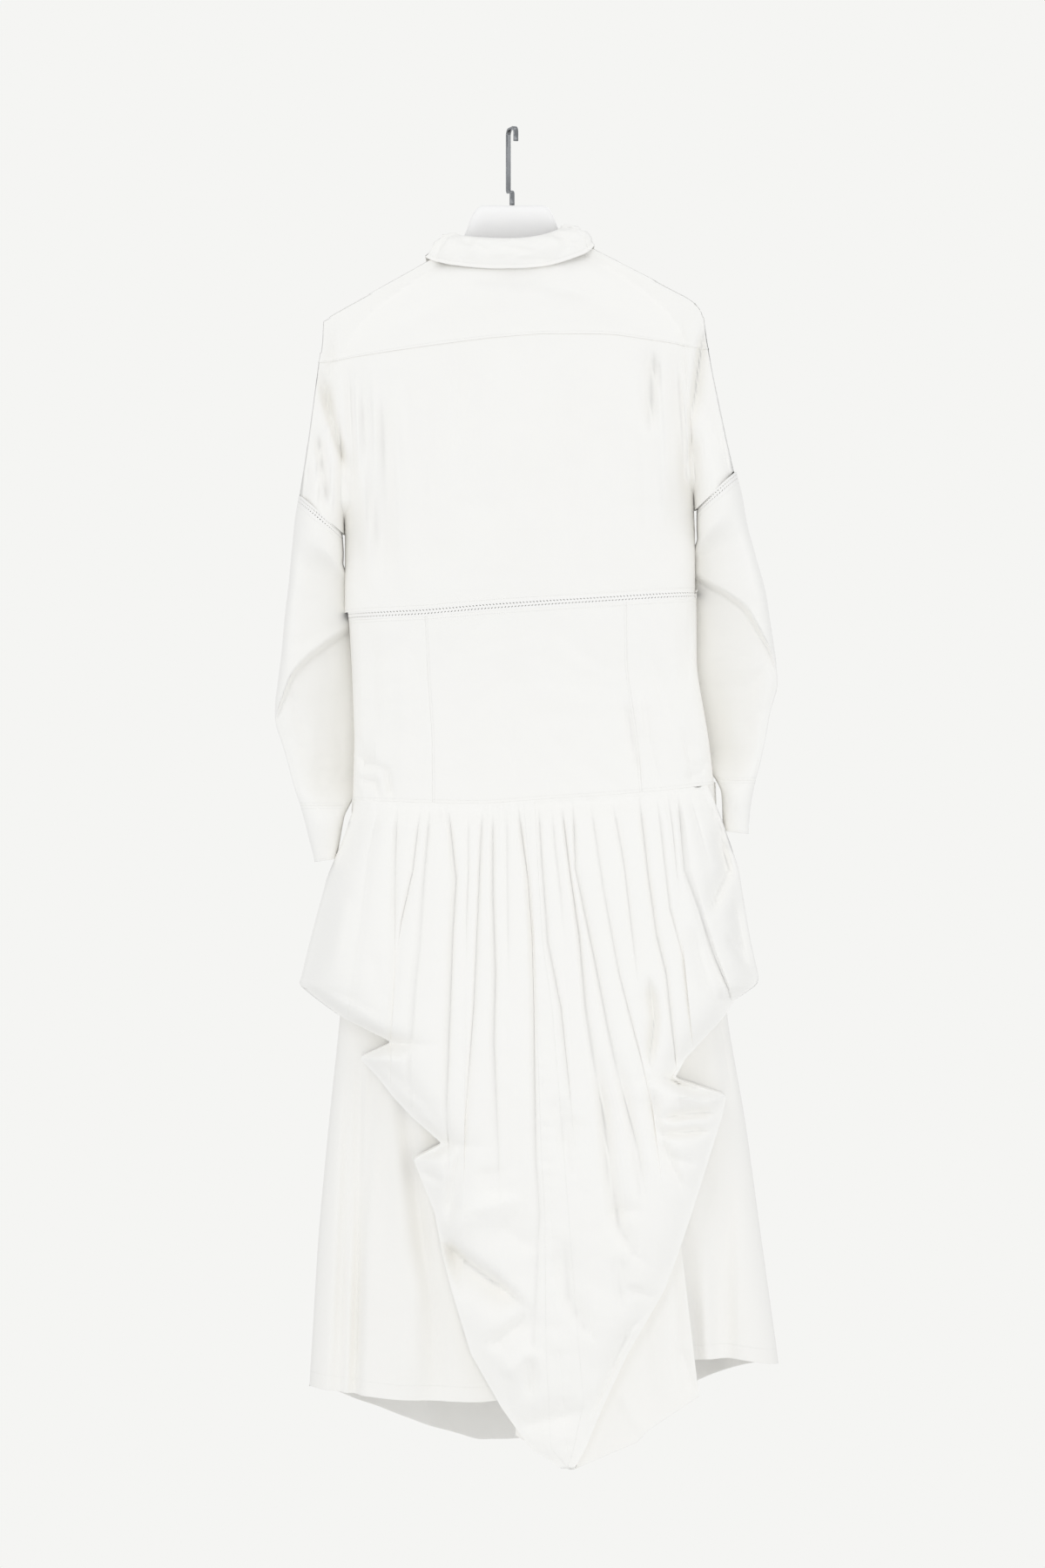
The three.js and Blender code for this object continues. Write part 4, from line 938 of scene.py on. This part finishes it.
def button(name, foot, normal):
    """A turned disc with a raised rim, from a profile carried round, and four dark discs of painted shade
    where its thread holes are.
    """
    r = BUTTON / 2
    profile = np.array([(0.02, 0), (r - 0.9, 0), (r - 0.2, 0.5), (r, 1.2), (r - 0.25, 1.9),
                        (r - 0.9, 2.05), (r - 1.5, 1.75), (r - 2.0, 1.4), (1.5, 1.3), (0.02, 1.3)])
    turn = np.linspace(0, 2 * np.pi, 36, endpoint=False)
    rings = stack(profile[:, :1] * np.cos(turn), profile[:, :1] * np.sin(turn), profile[:, 1:])
    loft(name, turned(rings, foot, normal), SHELL)
    turn = np.linspace(0, 2 * np.pi, 12, endpoint=False)
    for hx, hy in HOLES:
        disc = stack(hx + HOLE * np.cos(turn), hy + HOLE * np.sin(turn), HOLE_AT + 0 * turn)
        shaded_hole_discs.append(turned(disc, foot, normal))
    for way in (-1, 1):
        ends = np.array([(-HOLE_OFF, -way * HOLE_OFF, 1.5), (HOLE_OFF, way * HOLE_OFF, 1.5)])
        sewing.run(turned(ends, foot, normal), np.stack([normal, normal]), pitch=3.4, long=3.2, thick=0.7)


for k in range(FRONT_BUTTONS):
    z = mix(PLACKET_TOP - TOP_BUTTON, WAIST_Z + LAST_BUTTON, k / (FRONT_BUTTONS - 1))
    x = float(body_x(FRONT_SPLIT, z))
    step = 2.0
    slope = float(front_depth(x, z + step) - front_depth(x, z - step)) / (2 * step)
    turn_x = float(front_depth(x + step, z) - front_depth(x - step, z)) / (2 * step)
    normal = np.array([-turn_x, 1, -slope])
    normal /= np.linalg.norm(normal)
    foot = np.array([x, float(front_depth(x, z)), z]) + normal * (SEAM + WALL + SEAM)
    button(f"button_front_{k + 1}", foot, normal)

# Sleeves

SLEEVE_ROWS = {
    "left": table("z out in back front tilt", [
        (-441, -244, -195, 60, 60, -0.88), (-466, -248, -194, 60, 60, -0.8),
        (-500, -253, -195, 58, 60, -0.5), (-551, -260, -209, 54, 62, -0.2),
        (-600, -265, -207, 50, 66, 0), (-630, -268, -198, 46, 68, 0), (-655, -271, -193, 40, 70, 0),
        (-686, -271, -190, 36, 72, 0), (-721, -260, -189, 32, 74, 0), (-751, -252, -189, 30, 76, 0),
        (-776, -243, -190, 26, 78, 0), (-812, -234, -196, 20, 80, 0.1),
        (-839, -226, -202, 14, 82, 0.15)]),
    "right": table("z out in back front tilt", [
        (-413, 257, 212, 60, 60, 0.9), (-440, 264, 212, 60, 60, 0.8), (-475, 272, 213, 58, 60, 0.5),
        (-541, 291, 222, 54, 62, 0.2), (-572, 297, 226, 50, 66, 0), (-605, 302, 227, 46, 68, 0),
        (-638, 306, 230, 40, 70, 0), (-664, 299, 232, 36, 72, 0), (-700, 290, 235, 32, 74, 0),
        (-724, 285, 238, 30, 76, 0), (-747, 279, 240, 26, 78, 0), (-780, 273, 242, 20, 80, -0.1),
        (-807, 270.5, 243.5, 14, 82, -0.13)])}
# What differs between the arms: which way is inwards, and the heights between which the overhanging
# edge ends and the forearm comes out from behind the body.
ARMS = {
    "left": {"way": 1, "armpit": ARMPIT["z"][0], "cuff": -776,
             "overhang ends": (-806, -740), "behind body": (-792, -738)},
    "right": {"way": -1, "armpit": ARMPIT["z"][1], "cuff": -747,
              "overhang ends": (-780, -710), "behind body": (-764, -712)}}
# The edge of each upper sleeve, which hangs over the forearm, as seen from the back.
OVERHANG = {
    "left": table("z x", [(-440, -188), (-486, -190), (-551, -211), (-570, -216), (-606, -238),
                          (-631, -254), (-686, -275)]),
    "right": table("z x", [(-440, 208), (-485, 211), (-516, 236), (-552, 269), (-601, 297),
                           (-640, 310)])}
OVER_STEP = 15  # how far the forearm lies under the overhanging edge
BEHIND = 42  # how far the forearm's inner edge lies towards the front
LAP = 10  # how far that edge reaches behind the body
SLEEVE_CREASES = {
    "left": table(CREASE, [
        (-246, -440, -262, -640, -1.6, 9, 9), (-225, -470, -243, -590, 1.4, 8, 10),
        (-215, -560, -250, -600, 1.8, 5, 8), (-258, -640, -236, -700, 2.6, 5, 9),
        (-262, -690, -232, -720, 2.2, 5, 8), (-214, -620, -210, -760, 2.0, 7, 9),
        (-226, -700, -222, -775, 1.2, 6, 6)]),
    "right": table(CREASE, [
        (262, -420, 290, -600, -1.4, 9, 9), (240, -440, 272, -530, 1.6, 8, 10),
        (270, -540, 296, -570, 1.8, 5, 7), (300, -600, 270, -650, 2.4, 7, 5),
        (296, -660, 262, -690, 2.2, 6, 6), (246, -600, 250, -740, 2.6, 7, 8),
        (262, -640, 264, -745, -1.2, 8, 6)])}


def sleeve_surface(arm, z, angle):
    """A closed section at each height; angle 0 is the inner edge and a quarter turn on is the back.
    The back is set in below the overhanging edge of the upper sleeve."""
    rows, own = SLEEVE_ROWS[arm], ARMS[arm]
    way = own["way"]
    out, inn, back, front, tilt = at_height(rows, z, "out in back front tilt", 10)
    bent = np.sin(angle)
    round_ = np.abs(bent) ** 0.9 * np.sign(bent)
    x = mix(out, inn, (1 + np.cos(angle)) / 2)
    edge = read(OVERHANG[arm], "z", "x", z, 6)
    step = OVER_STEP * ease(-0.5, 2.5, (x - edge) * way * 0.7) * ease(*own["overhang ends"], z)
    drawn = creases(x, z, SLEEVE_CREASES[arm]) + 1.2 * crumple(x * 1.2, z, 44, 51)
    drawn = drawn + 0.3 * noise(x, z, 12, 3)
    deep_back = np.maximum(6, back - step * ease(0, 0.5, bent) - drawn)
    deep_front = front - 1.6 * crumple(x * 1.3, z, 60, 57)
    y = np.where(round_ > 0, -deep_back * round_, -deep_front * round_)
    inner = ease(0.0, 1.0, (1 + np.cos(angle)) / 2)
    behind = ease(*own["behind body"], z) * ease(own["armpit"] - 14, own["armpit"] - 50, z)
    y = y + BEHIND * behind * inner
    edge_wave = 1.3 * noise(z, 0 * z, 34, 60) * np.cos(angle)
    short = np.maximum(0, way * (read(BODY, "z", arm, z, 20) - inn) + LAP)
    lap = short * behind * inner**2 * way
    return stack(x + edge_wave + lap, y, z + tilt * (x - (out + inn) / 2))


AROUND = 120  # columns round a sleeve
CUFF_BUTTON = 1.25 * np.pi  # its place round the cuff
for arm, own in ARMS.items():
    rows, hand, cuff_top = SLEEVE_ROWS[arm], own["way"], own["cuff"]
    turn = -np.linspace(0, 2 * np.pi, AROUND, endpoint=False)[None, :] * hand
    first, bottom = rows["z"][0], rows["z"][-1]
    band_end = first - BAND
    z = mix(first - 2 * SEAM, band_end, np.linspace(0, 1, 4))[:, None]
    ladder(f"openwork_sleeve_{arm}", *along(sleeve_surface(arm, z, turn), closed=True))
    z = mix(band_end + LAPPED, cuff_top - 3, spread(120, 340))[:, None]
    sleeve = tuck(sleeve_surface(arm, z, turn), "b", 1.2, 3.6)
    cloth(f"sleeve_{arm}", sleeve, ring=True)
    z = mix(cuff_top, bottom, spread(16, 62))[:, None]
    cuff = sleeve_surface(arm, z, turn)
    cloth(f"cuff_{arm}", cuff, ring=True, thick=DOUBLE)
    for grid, runs in ((sleeve, (4, -6)), (cuff, (4, -4))):
        normals = outward(grid)
        for row in runs:
            sewing.run(np.concatenate([grid[row], grid[row, :1]]),
                       np.concatenate([normals[row], normals[row, :1]]))
    middle = np.array([[mix(cuff_top, bottom, 0.5)]])
    place = sleeve_surface(arm, middle, np.array([[CUFF_BUTTON]]))[0, 0]
    wide = abs(read(rows, "z", "out", middle[0, 0]) - read(rows, "z", "in", middle[0, 0]))
    normal = np.array([-hand * float(read(rows, "z", "front", middle[0, 0])), float(wide) / 2, 0])
    normal /= np.linalg.norm(normal)
    button(f"button_cuff_{arm}", place + normal * 1.2, normal)

# All the discs of painted shade in the thread holes, as one mesh.
discs = np.array(shaded_hole_discs)
fans = np.arange(12)[None, :] + 12 * np.arange(len(discs))[:, None]
finish_piece(add_mesh("button_holes", discs, fans, smooth=False), HOLE_SHADE, ())

# Underskirt

FLUTES = table("x depth wide side from", [
    (-196, 9, 9, -1, -950), (-178, 12, 7, -1, -980), (-90, 6, 20, -1, -1000), (244, 8, 16, -1, -980),
    (212, 5, 10, -1, -1100), (-180, 10, 18, 1, -900), (-95, 12, 22, 1, -860), (0, 10, 22, 1, -900),
    (90, 13, 24, 1, -860), (180, 11, 20, 1, -900), (250, 8, 14, 1, -950)])
UNDER_CREASES = table(CREASE, [
    (-187, -1060, -200, -1445, 4.2, 6, 6), (-174, -1067, -181, -1460, 8.4, 5, 8),
    (-150, -1090, -152, -1330, 5.6, 16, 24), (-108, -1280, -112, -1455, -4.9, 22, 20),
    (-126, -1105, -92, -1350, 12.6, 9, 12),
    (-93, -1320, -85, -1465, 5.6, 14, 12), (236, -1010, 252, -1112, 4.2, 5, 9),
    (262, -1020, 286, -1200, 2.8, 10, 10), (250, -1200, 247, -1425, 4.9, 9, 13),
    (226, -1240, 222, -1425, -3.5, 9, 9), (280, -1180, 300, -1400, 2.1, 12, 12)])


def skirt_depth(side, x, z, fine=True):
    """Depth of the underskirt: a dome with soft flutes that deepen to the hem, and finer creases."""
    left, right = at_height(SKIRT, z, "left right", 40)
    share = across(x, left, right)
    depth = read(SKIRT, "z", "back" if side < 0 else "front", z, 40) * dome(share, 2.3)
    hem_l, hem_r = at_height(SKIRT, HEM_Z, "left right")
    width = (right - left) / (hem_r - hem_l)
    for fx, deep, wide, where, start in zip(*FLUTES.values()):
        if where == side:
            place = (left + right) / 2 + (fx - (hem_l + hem_r) / 2) * width
            grown = ease(start, HEM_Z, z) * ease(1, 0.9, np.abs(share))
            depth = depth - deep * grown * np.exp(-(((x - place) / wide) ** 2))
    if fine:
        drawn = 1.1 * crumple(x, z * 0.6, 80, 71 + side)
        if side < 0:
            px, pz = seen(x, z, depth)
            drawn = drawn + creases(px, pz, UNDER_CREASES)
        depth = depth - drawn * ease(0, 30, depth)
    return np.maximum(EDGE, depth)


for side, name in ((-1, "back"), (1, "front")):
    shares = np.linspace(0, 1, 320 if side < 0 else 120)
    shares = mix(shares, settle(shares), 0.6)[None, :]
    rows = np.concatenate([np.linspace(0, 0.975, 92), np.linspace(0.98, 1, 8)])[:, None]
    waist = line("waist", body_x(shares, WAIST_Z, 0)) + 3
    hem = read(HEM, "x", name, mix(-231, 306, shares), 9)
    z = mix(waist, hem, rows)
    x = mix(*at_height(SKIRT, z, "left right", 40), shares)
    sewn = lower_depth(side, x, z) - 1.2 * ease(0.5, 3, lower_depth(side, x, z))
    depth = mix(skirt_depth(side, x, z), sewn, ease(-800, -774, z))
    skirt = stack(x, side * np.maximum(EDGE, depth), z)
    skirt = skirt if side < 0 else skirt[:, ::-1]
    # The underskirt takes the darker poplin, painted shade for cloth under the drape.
    cloth(f"underskirt_{name}", skirt, COTTON_SHADED)
    sewing.sew(skirt, [-9])

# Overskirt

DRAPE = table("z left right edgeL edgeR", [
    (-772, -179, 224, 34, 40), (-786, -183, 229, 22, 34), (-813, -192, 241, 12, 20),
    (-860, -212, 260, 4, 8), (-925, -230, 272, 2, 4), (-974, -242, 283, 2, 6),
    (-981, -245, 280, 4, 20), (-997, -223, 253, 24, 46), (-1016, -193, 240, 52, 56),
    (-1043, -135, 214, 80, 74), (-1061, -173, 196, 66, 86), (-1083, -151, 183, 76, 96),
    (-1104, -134, 243, 86, 66), (-1126, -113, 238, 92, 74), (-1156, -78, 228, 100, 84),
    (-1174, -111, 222, 90, 90), (-1233, -87, 203, 98, 98), (-1280, -78, 187, 103, 102),
    (-1320, -68, 172, 104, 104), (-1392, -46, 130, 106, 107), (-1452, -12, 102, 106, 107),
    (-1500, 22, 82, 107, 108), (-1522, 58, 70, 108, 109)])
# The drape's form without its notches: its edges, and its depth there and along the middle.
SPAN = table("z left right edge mid", [
    (-772, -172, 210, 50, 74), (-800, -185, 228, 30, 88), (-860, -212, 260, 12, 108),
    (-925, -232, 275, 10, 122), (-975, -245, 286, 12, 131), (-1030, -232, 278, 30, 139),
    (-1100, -190, 262, 62, 146), (-1180, -150, 240, 88, 148), (-1260, -118, 214, 98, 145),
    (-1340, -88, 178, 103, 140), (-1420, -48, 134, 106, 130), (-1480, -4, 100, 107, 119),
    (-1524, 40, 84, 108, 112)])
CENTRE_SEAM = table("z x", [
    (-772, 20), (-891, 24), (-1051, 33), (-1238, 44), (-1362, 51), (-1522, 64)])
DRAPE_CLEAR = 5  # between the drape and the underskirt
HELD = 26  # below the waist seam, over which the drape leaves the body
WRAP = 26  # of the drape past its outer edge, where it stands beside the skirt
PUCKER = 1.1  # how far the centre seam draws up the cloth beside it
SEAM_DRAW = 0.3  # how far it draws in the tubes of the gathers that it ends
CLOSEST = 0.8  # between two columns of the drape that follow grooves
COLUMN = 2.3  # between the columns of a tube
# Grooves of the gathers, each a run of points and its depth.
GROOVES = [
    (((-152, -778), (-164, -833), (-171, -894), (-186, -1001)), 5),
    (((-132, -778), (-134, -840), (-135, -965), (-139, -1037)), 7),
    (((-105, -778), (-114, -850), (-127, -905), (-136, -965)), 6),
    (((-94, -778), (-101, -858), (-106, -930), (-112, -985), (-117, -1066), (-114, -1108)), 6),
    (((-73, -780), (-64, -858), (-68, -922), (-71, -1001), (-75, -1108), (-73, -1155)), 10),
    (((-50, -778), (-50, -850), (-52, -905)), 4),
    (((-34, -780), (-37, -840), (-39, -894), (-44, -1001), (-55, -1144)), 7),
    (((-22, -780), (-22, -876), (-19, -965), (-21, -1037), (-16, -1169)), 8),
    (((-6, -778), (-5, -860), (-4, -930)), 4),
    (((7, -778), (18, -858), (23, -922), (25, -1001), (27, -1169), (31, -1230), (24, -1396)), 9),
    (((30, -776), (34, -840), (41, -930), (56, -1001), (66, -1094)), 6),
    (((45, -776), (50, -830), (56, -880)), 4),
    (((57, -780), (66, -851), (77, -922), (84, -1001), (95, -1072), (113, -1169)), 8),
    (((70, -780), (73, -851), (95, -951), (109, -1022), (120, -1072), (145, -1162)), 8),
    (((91, -787), (104, -869), (123, -965), (148, -1058), (166, -1137)), 6),
    (((116, -783), (129, -851), (139, -930)), 7),
    (((145, -769), (156, -858), (166, -922), (177, -965), (188, -1065)), 9),
    (((166, -776), (181, -894), (202, -965), (216, -1001)), 5),
    (((191, -787), (198, -858), (213, -894), (231, -944), (248, -983)), 9),
    (((178, -772), (184, -812), (188, -850)), 4),
    (((200, -769), (216, -822), (224, -850)), 5)]
# Folds of the drape, each a run of points, its depth and its width below and above. A depth under
# nought is a ridge.
DRAPE_FOLDS = [
    (((157, -970), (164, -1022), (156, -1088)), 11, 8, 6),
    (((-60, -1165), (-74, -1265)), 6, 8, 9),
    (((48, -1104), (66, -1193), (74, -1208)), 4, 5, 10),
    (((96, -1060), (102, -1082), (109, -1193), (122, -1259), (140, -1293), (166, -1311)), 8, 7, 9),
    (((122, -1056), (144, -1193), (148, -1252)), 5, 7, 9),
    (((159, -1090), (170, -1156), (192, -1208), (203, -1230)), 7, 12, 7),
    (((55, -1267), (63, -1341), (81, -1374), (96, -1396)), 6, 6, 12),
    (((122, -1289), (126, -1359)), 4, 4, 9),
    (((155, -1359), (133, -1381), (114, -1430), (85, -1489)), 4, 5, 4),
    (((-89, -1267), (-41, -1241), (11, -1226)), -5, 16, 9),
    (((-20, -1255), (30, -1290)), 3, 14, 18),
    (((-92, -1262), (-78, -1282), (-37, -1315), (20, -1356)), 20, 26, 7),
    (((-30, -1400), (10, -1372), (18, -1350)), 6, 12, 9),
    (((-14, -1430), (20, -1410), (30, -1396)), -4, 14, 10),
    (((8, -1490), (60, -1478), (84, -1470)), 6, 12, 16),
    (((16, -1404), (24, -1460)), 4, 6, 8),
    (((170, -1136), (238, -1128)), 10, 5, 8), (((168, -1156), (230, -1150)), 9, 5, 8),
    (((172, -1086), (236, -1122)), 9, 5, 10), (((184, -1108), (244, -1118)), -6, 6, 6),
    (((180, -1180), (214, -1190)), 3, 6, 7),
    (((-112, -1176), (-76, -1170)), 5, 5, 7), (((-106, -1198), (-78, -1210)), 4, 5, 7),
    (((-120, -1055), (-138, -1062)), 3, 4, 6), (((-160, -1064), (-100, -1120), (-74, -1158)), 3, 4, 12),
    (((-230, -978), (-160, -1012), (-137, -1038)), 3, 4, 14),
    (((238, -812), (248, -862), (222, -912)), 12, 11, 7), (((256, -890), (268, -955)), 7, 6, 7),
    (((246, -925), (274, -965)), 6, 5, 6), (((206, -915), (226, -985), (250, -1010)), 7, 8, 12),
    (((136, -1330), (160, -1344)), 4, 5, 7), (((110, -1246), (150, -1240)), 3, 8, 10),
    (((70, -1130), (60, -1180)), 2, 10, 14), (((-190, -880), (-206, -968)), -3, 8, 8),
    (((-150, -1010), (-160, -940)), 2, 9, 9), (((-30, -1190), (-20, -1230)), 2.5, 9, 12)]


def groove_lines(hand, z):
    """Places, depths and column counts for one half of the drape. Its columns start at the outer
    edge, follow each groove and end at the centre seam, never closer than CLOSEST."""
    seam = read(CENTRE_SEAM, "z", "x", z, 40)
    places, depths = [read(DRAPE, "z", hand, z, 3)], [0 * z]
    rows = sorted(GROOVES, key=lambda row: row[0][0][0], reverse=hand == "right")
    for points, depth in rows:
        xs, zs = np.array(points, float).T
        if (xs[0] < CENTRE_SEAM["x"][0]) != (hand == "left"):
            continue
        slope = (xs[-1] - xs[0]) / (zs[-1] - zs[0])
        places.append(np.interp(z, zs[::-1], xs[::-1]) + np.minimum(0, z - zs[-1]) * slope * 0.8)
        fading = mix(1, 0.4, ease(-1000, -1240, z))
        depths.append(depth * ease(zs[-1] - 90, zs[-1] + 30, z) * fading)
    way = 1 if hand == "left" else -1
    count = len(places)
    for k in range(1, count):
        flat = at_depth(places[k], z)
        places[k] = way * np.maximum(way * flat, way * places[k - 1] + CLOSEST)
    for k in range(1, count):
        places[k] = way * np.minimum(way * places[k], way * seam - (count - k) * CLOSEST)
    return [*places, seam], [*depths, SEAM_DRAW + 0 * z]


def base_depth(x, z):
    """The drape's depth without gathers and folds."""
    left, right = at_height(DRAPE, z, "left right", 3)
    span_l, span_r, low_edge, mid = at_height(SPAN, z, "left right edge mid", 30)
    whole = low_edge + (mid - low_edge) * dome(across(x, span_l, span_r), 2.2)
    nearer = x - left < right - x
    own = np.where(nearer, read(DRAPE, "z", "edgeL", z, 8), read(DRAPE, "z", "edgeR", z, 8))
    off = np.maximum(0, np.minimum(x - left, right - x))
    return whole + np.minimum(0, own - whole) * 0.75 * np.exp(-((off / 20) ** 1.4)), off


def at_depth(px, z):
    """Where on the drape a place seen at px on the hanger's plane is."""
    x = px
    for _ in range(2):
        x = VIEW["x"] + (px - VIEW["x"]) * (1 - base_depth(x, z)[0] / EYE)
    return x


def gathered_columns(hand, z):
    """Places of all columns of one half, and how far the gathers draw them in: between two grooves
    the cloth rises in a tube as (4t(1-t)) to a power of the share t, lower where they run together."""
    places, depths = groove_lines(hand, z)
    xs, drawn = [], []
    for a, b, deep_a, deep_b in zip(places, places[1:], depths, depths[1:]):
        wide = np.abs(b - a)
        count = max(5, int(np.ceil(wide[0, 0] / COLUMN)))
        t = np.linspace(0, 1, count + 1)[None, :-1]
        tube = (4 * t * (1 - t)) ** 0.7 * ease(2, 11, wide)
        xs.append(mix(a, b, t))
        drawn.append(mix(deep_a, deep_b, t) * (1 - tube))
    xs.append(places[-1])
    drawn.append(depths[-1])
    return np.concatenate(xs, axis=1), np.concatenate(drawn, axis=1)


def to_waist(x, z):
    """Near the waist the rows follow the waist seam instead of lying level."""
    return (line("waist", x) - WAIST_Z) * ease(-950, -780, z)


def drape_point(hand, x, z, around, gathers):
    """Half the drape; around (0 to 1) goes on past its outer edge, round a fold that leads to the
    inside. Gathers and folds draw it in between the edges."""
    full, off = base_depth(x, z)
    under = skirt_depth(-1, x, z, fine=False)
    px, pz = seen(x, z, full)
    down = WAIST_Z - z
    drawn = DRAWN["gathers"] * gathers * ease(-3, 40, down)
    drawn = drawn + DRAWN["folds"] * folds(px, pz, DRAPE_FOLDS, 1.5)
    from_seam = np.abs(x - read(CENTRE_SEAM, "z", "x", z, 40))
    pucker = PUCKER * noise(z, 0 * z, 8, 66) * np.exp(-((from_seam / 7) ** 2)) * ease(60, 200, down)
    fine = 1.7 * np.abs(noise(x * (1 - 0.2 * ease(0, 240, down)), z * 0.08, 6.5, 77)) * ease(95, 8, down)
    wrinkle = mix(1.2, 3.0, ease(330, 640, down)) * crumple(x, z * 0.8, 70, 81)
    quiet = ease(-1, 14, off)
    drawn = (drawn + pucker + fine + wrinkle + 0.35 * noise(x, z, 15, 4)) * quiet * ease(0, 6, down)
    level = z + to_waist(x, z)
    sewn = lower_depth(-1, x, level) + mix(-1.3, 0.5, ease(-1.2, 0.8, down))
    held = mix(sewn, full, ease(0, HELD, down))
    depth = np.maximum(held - drawn, mix(sewn - 3, under + DRAPE_CLEAR, ease(0, HELD, down)))
    inward = 1 if hand == "left" else -1
    beyond = -inward * (x - read(SKIRT, "z", hand, z))
    wrap = ease(4, 16, beyond)
    reach = np.maximum(0, mix(depth - under - DRAPE_CLEAR / 2, WRAP, wrap))
    bend = around * 1.8
    curl = (reach * np.sin(np.minimum(bend, np.pi / 2)) + 0.2 * around) * ease(0, 30, down)
    back = 5 * wrap * (1 - np.cos(bend)) + 0.2 * around
    return stack(x + inward * back, curl - depth, level)


z = np.concatenate([np.linspace(-769.5, -776, 6), np.linspace(-779, -1000, 66),
                    np.linspace(-1002, -1260, 104), np.linspace(-1263, -1520.5, 88)])[:, None]
turns = np.linspace(1, 0, 9)[None, :-1]
for hand in ("left", "right"):
    x, gathers = gathered_columns(hand, z)
    rest = np.zeros_like(x)
    x = np.concatenate([x[:, :1] + 0 * turns, x], axis=1)
    gathers = np.concatenate([0 * z + 0 * turns, gathers], axis=1)
    around = np.concatenate([turns + 0 * z, rest], axis=1)
    drape = drape_point(hand, x, z, around, gathers)
    drape = drape if hand == "left" else drape[:, ::-1]
    cloth(f"overskirt_{hand}", drape)
    sewing.sew(drape, (), [-4 if hand == "left" else 3])

# Underlayer of the drape

UNDERLAYER = table("x low depth", [
    (-88, -1440, 93), (-60, -1452, 94), (-39, -1464, 95), (-5, -1480, 96), (30, -1500, 98),
    (66, -1524, 103), (110, -1506, 98), (143, -1492, 97), (150, -1482, 97), (180, -1462, 95),
    (211, -1442, 92)])
UNDERLAYER_TOP = -1270
UNDERLAYER_LEFT = 4
UNDERLAYER_OUT = 1.25
LAYER_CREASES = table(CREASE, [
    (186, -1300, 190, -1450, 3.0, 8, 5), (150, -1330, 160, -1480, 1.8, 9, 12),
    (196, -1400, 208, -1450, 2.6, 5, 5), (120, -1440, 150, -1500, -1.6, 8, 8),
    (-60, -1300, -40, -1450, 2.4, 9, 12), (-30, -1360, -10, -1480, 1.6, 9, 12)])
share = np.linspace(0, 1, 150)[None, :]
down = np.concatenate([np.linspace(0, 0.96, 60), np.linspace(0.97, 1, 8)])[:, None]
nominal = mix(UNDERLAYER_LEFT, UNDERLAYER["x"][-1], share)
z = mix(UNDERLAYER_TOP, read(UNDERLAYER, "x", "low", nominal, 5), down)
x = mix(66, nominal, mix(0.86, 1, down))
depth = read(UNDERLAYER, "x", "depth", nominal, 10) + UNDERLAYER_OUT
layer = stack(x, -depth, z)
px, pz = seen(x, z, depth)
soft = np.minimum(4.0, creases(px, pz, LAYER_CREASES) + 0.9 * crumple(x, z, 60, 91))
layer[..., 1] += soft
# The underlayer takes the darker poplin, painted shade for cloth under the drape.
cloth("overskirt_underlayer", layer, COTTON_SHADED)

# Hanger and hook

HANGER = table("x top bottom deep", [
    (-204, -225, -240, 6), (-200, -221, -248, 12), (-188, -212.2, -250, 18), (-160, -195.2, -240, 22),
    (-120, -170.6, -222, 21), (-80, -149.2, -202, 17), (-62, -136.2, -190, 15),
    (-52, -115.5, -184, 14), (-47, -100, -180, 14), (-40, -90, -177, 14), (-34, -87, -175, 14),
    (0, -87, -172, 14), (36, -87, -172, 14), (41, -89, -173, 14), (47, -98, -176, 14),
    (52, -111.5, -180, 14), (60, -127.2, -185, 15), (80, -137.5, -195, 18), (120, -157.2, -212, 22),
    (160, -179.2, -230, 24), (190, -197.8, -240, 22), (202, -208.2, -240, 16), (207, -216.2, -234, 8)])
x = np.concatenate([[-204, -203], np.linspace(-201, -64, 40), np.linspace(-62, 58, 70),
                    np.linspace(60, 204, 40), [206, 207]])[:, None]
turn = np.linspace(0, 2 * np.pi, 40, endpoint=False)[None, :]
top, bottom, deep = (read(HANGER, "x", c, x, 2.0) for c in ("top", "bottom", "deep"))
c, s = np.cos(turn), np.sin(turn)
rings = stack(x, deep * np.abs(c) ** 0.75 * np.sign(c),
              (top + bottom) / 2 + (top - bottom) / 2 * np.abs(s) ** 0.75 * np.sign(s))
loft("hanger", rings, MOULDED)

HOOK = {"wide": 5.5, "thick": 3, "yaw": 0.3, "inside": 13.2, "corner": 7, "tip": -15, "foot": -86.7}


def arc(cs, cz, r, start, end, count):
    """Points on an arc, as place along and height."""
    a = np.linspace(start, end, count + 1)
    return np.stack([cs + r * np.cos(a), cz + r * np.sin(a)], axis=-1)


reach, over = HOOK["inside"] + HOOK["thick"] / 2, HOOK["thick"] / 2
foot, corner = HOOK["foot"], HOOK["corner"]
path = np.concatenate([
    [(0, foot), (0, foot + 12)], arc(4, foot + 12, 4, np.pi, np.pi / 2, 8)[1:],
    arc(reach - 4, foot + 20, 4, -np.pi / 2, 0, 8),
    arc(reach - corner, over - corner, corner, 0, np.pi / 2, 14),
    arc(-reach + corner, over - corner, corner, np.pi / 2, np.pi, 14), [(-reach, HOOK["tip"])]])
ahead = np.array([-np.sin(HOOK["yaw"]), np.cos(HOOK["yaw"]), 0])
aside = np.array([np.cos(HOOK["yaw"]), np.sin(HOOK["yaw"]), 0])
up = np.array([0, 0, 1.0])
way = np.gradient(path, axis=0)
way /= np.linalg.norm(way, axis=1, keepdims=True)
normal = way[:, 1:] * ahead - way[:, :1] * up
corner_turn = np.linspace(0, 2 * np.pi, 24, endpoint=False)
u = np.abs(np.cos(corner_turn)) ** 0.35 * np.sign(np.cos(corner_turn)) * HOOK["wide"] / 2
w = np.abs(np.sin(corner_turn)) ** 0.35 * np.sign(np.sin(corner_turn)) * HOOK["thick"] / 2
rings = (path[:, None, :1] * ahead + path[:, None, 1:] * up + u[None, :, None] * aside
         + w[None, :, None] * normal[:, None, :])
loft("hook", rings, STEEL)

sewing.make("stitching", THREAD)
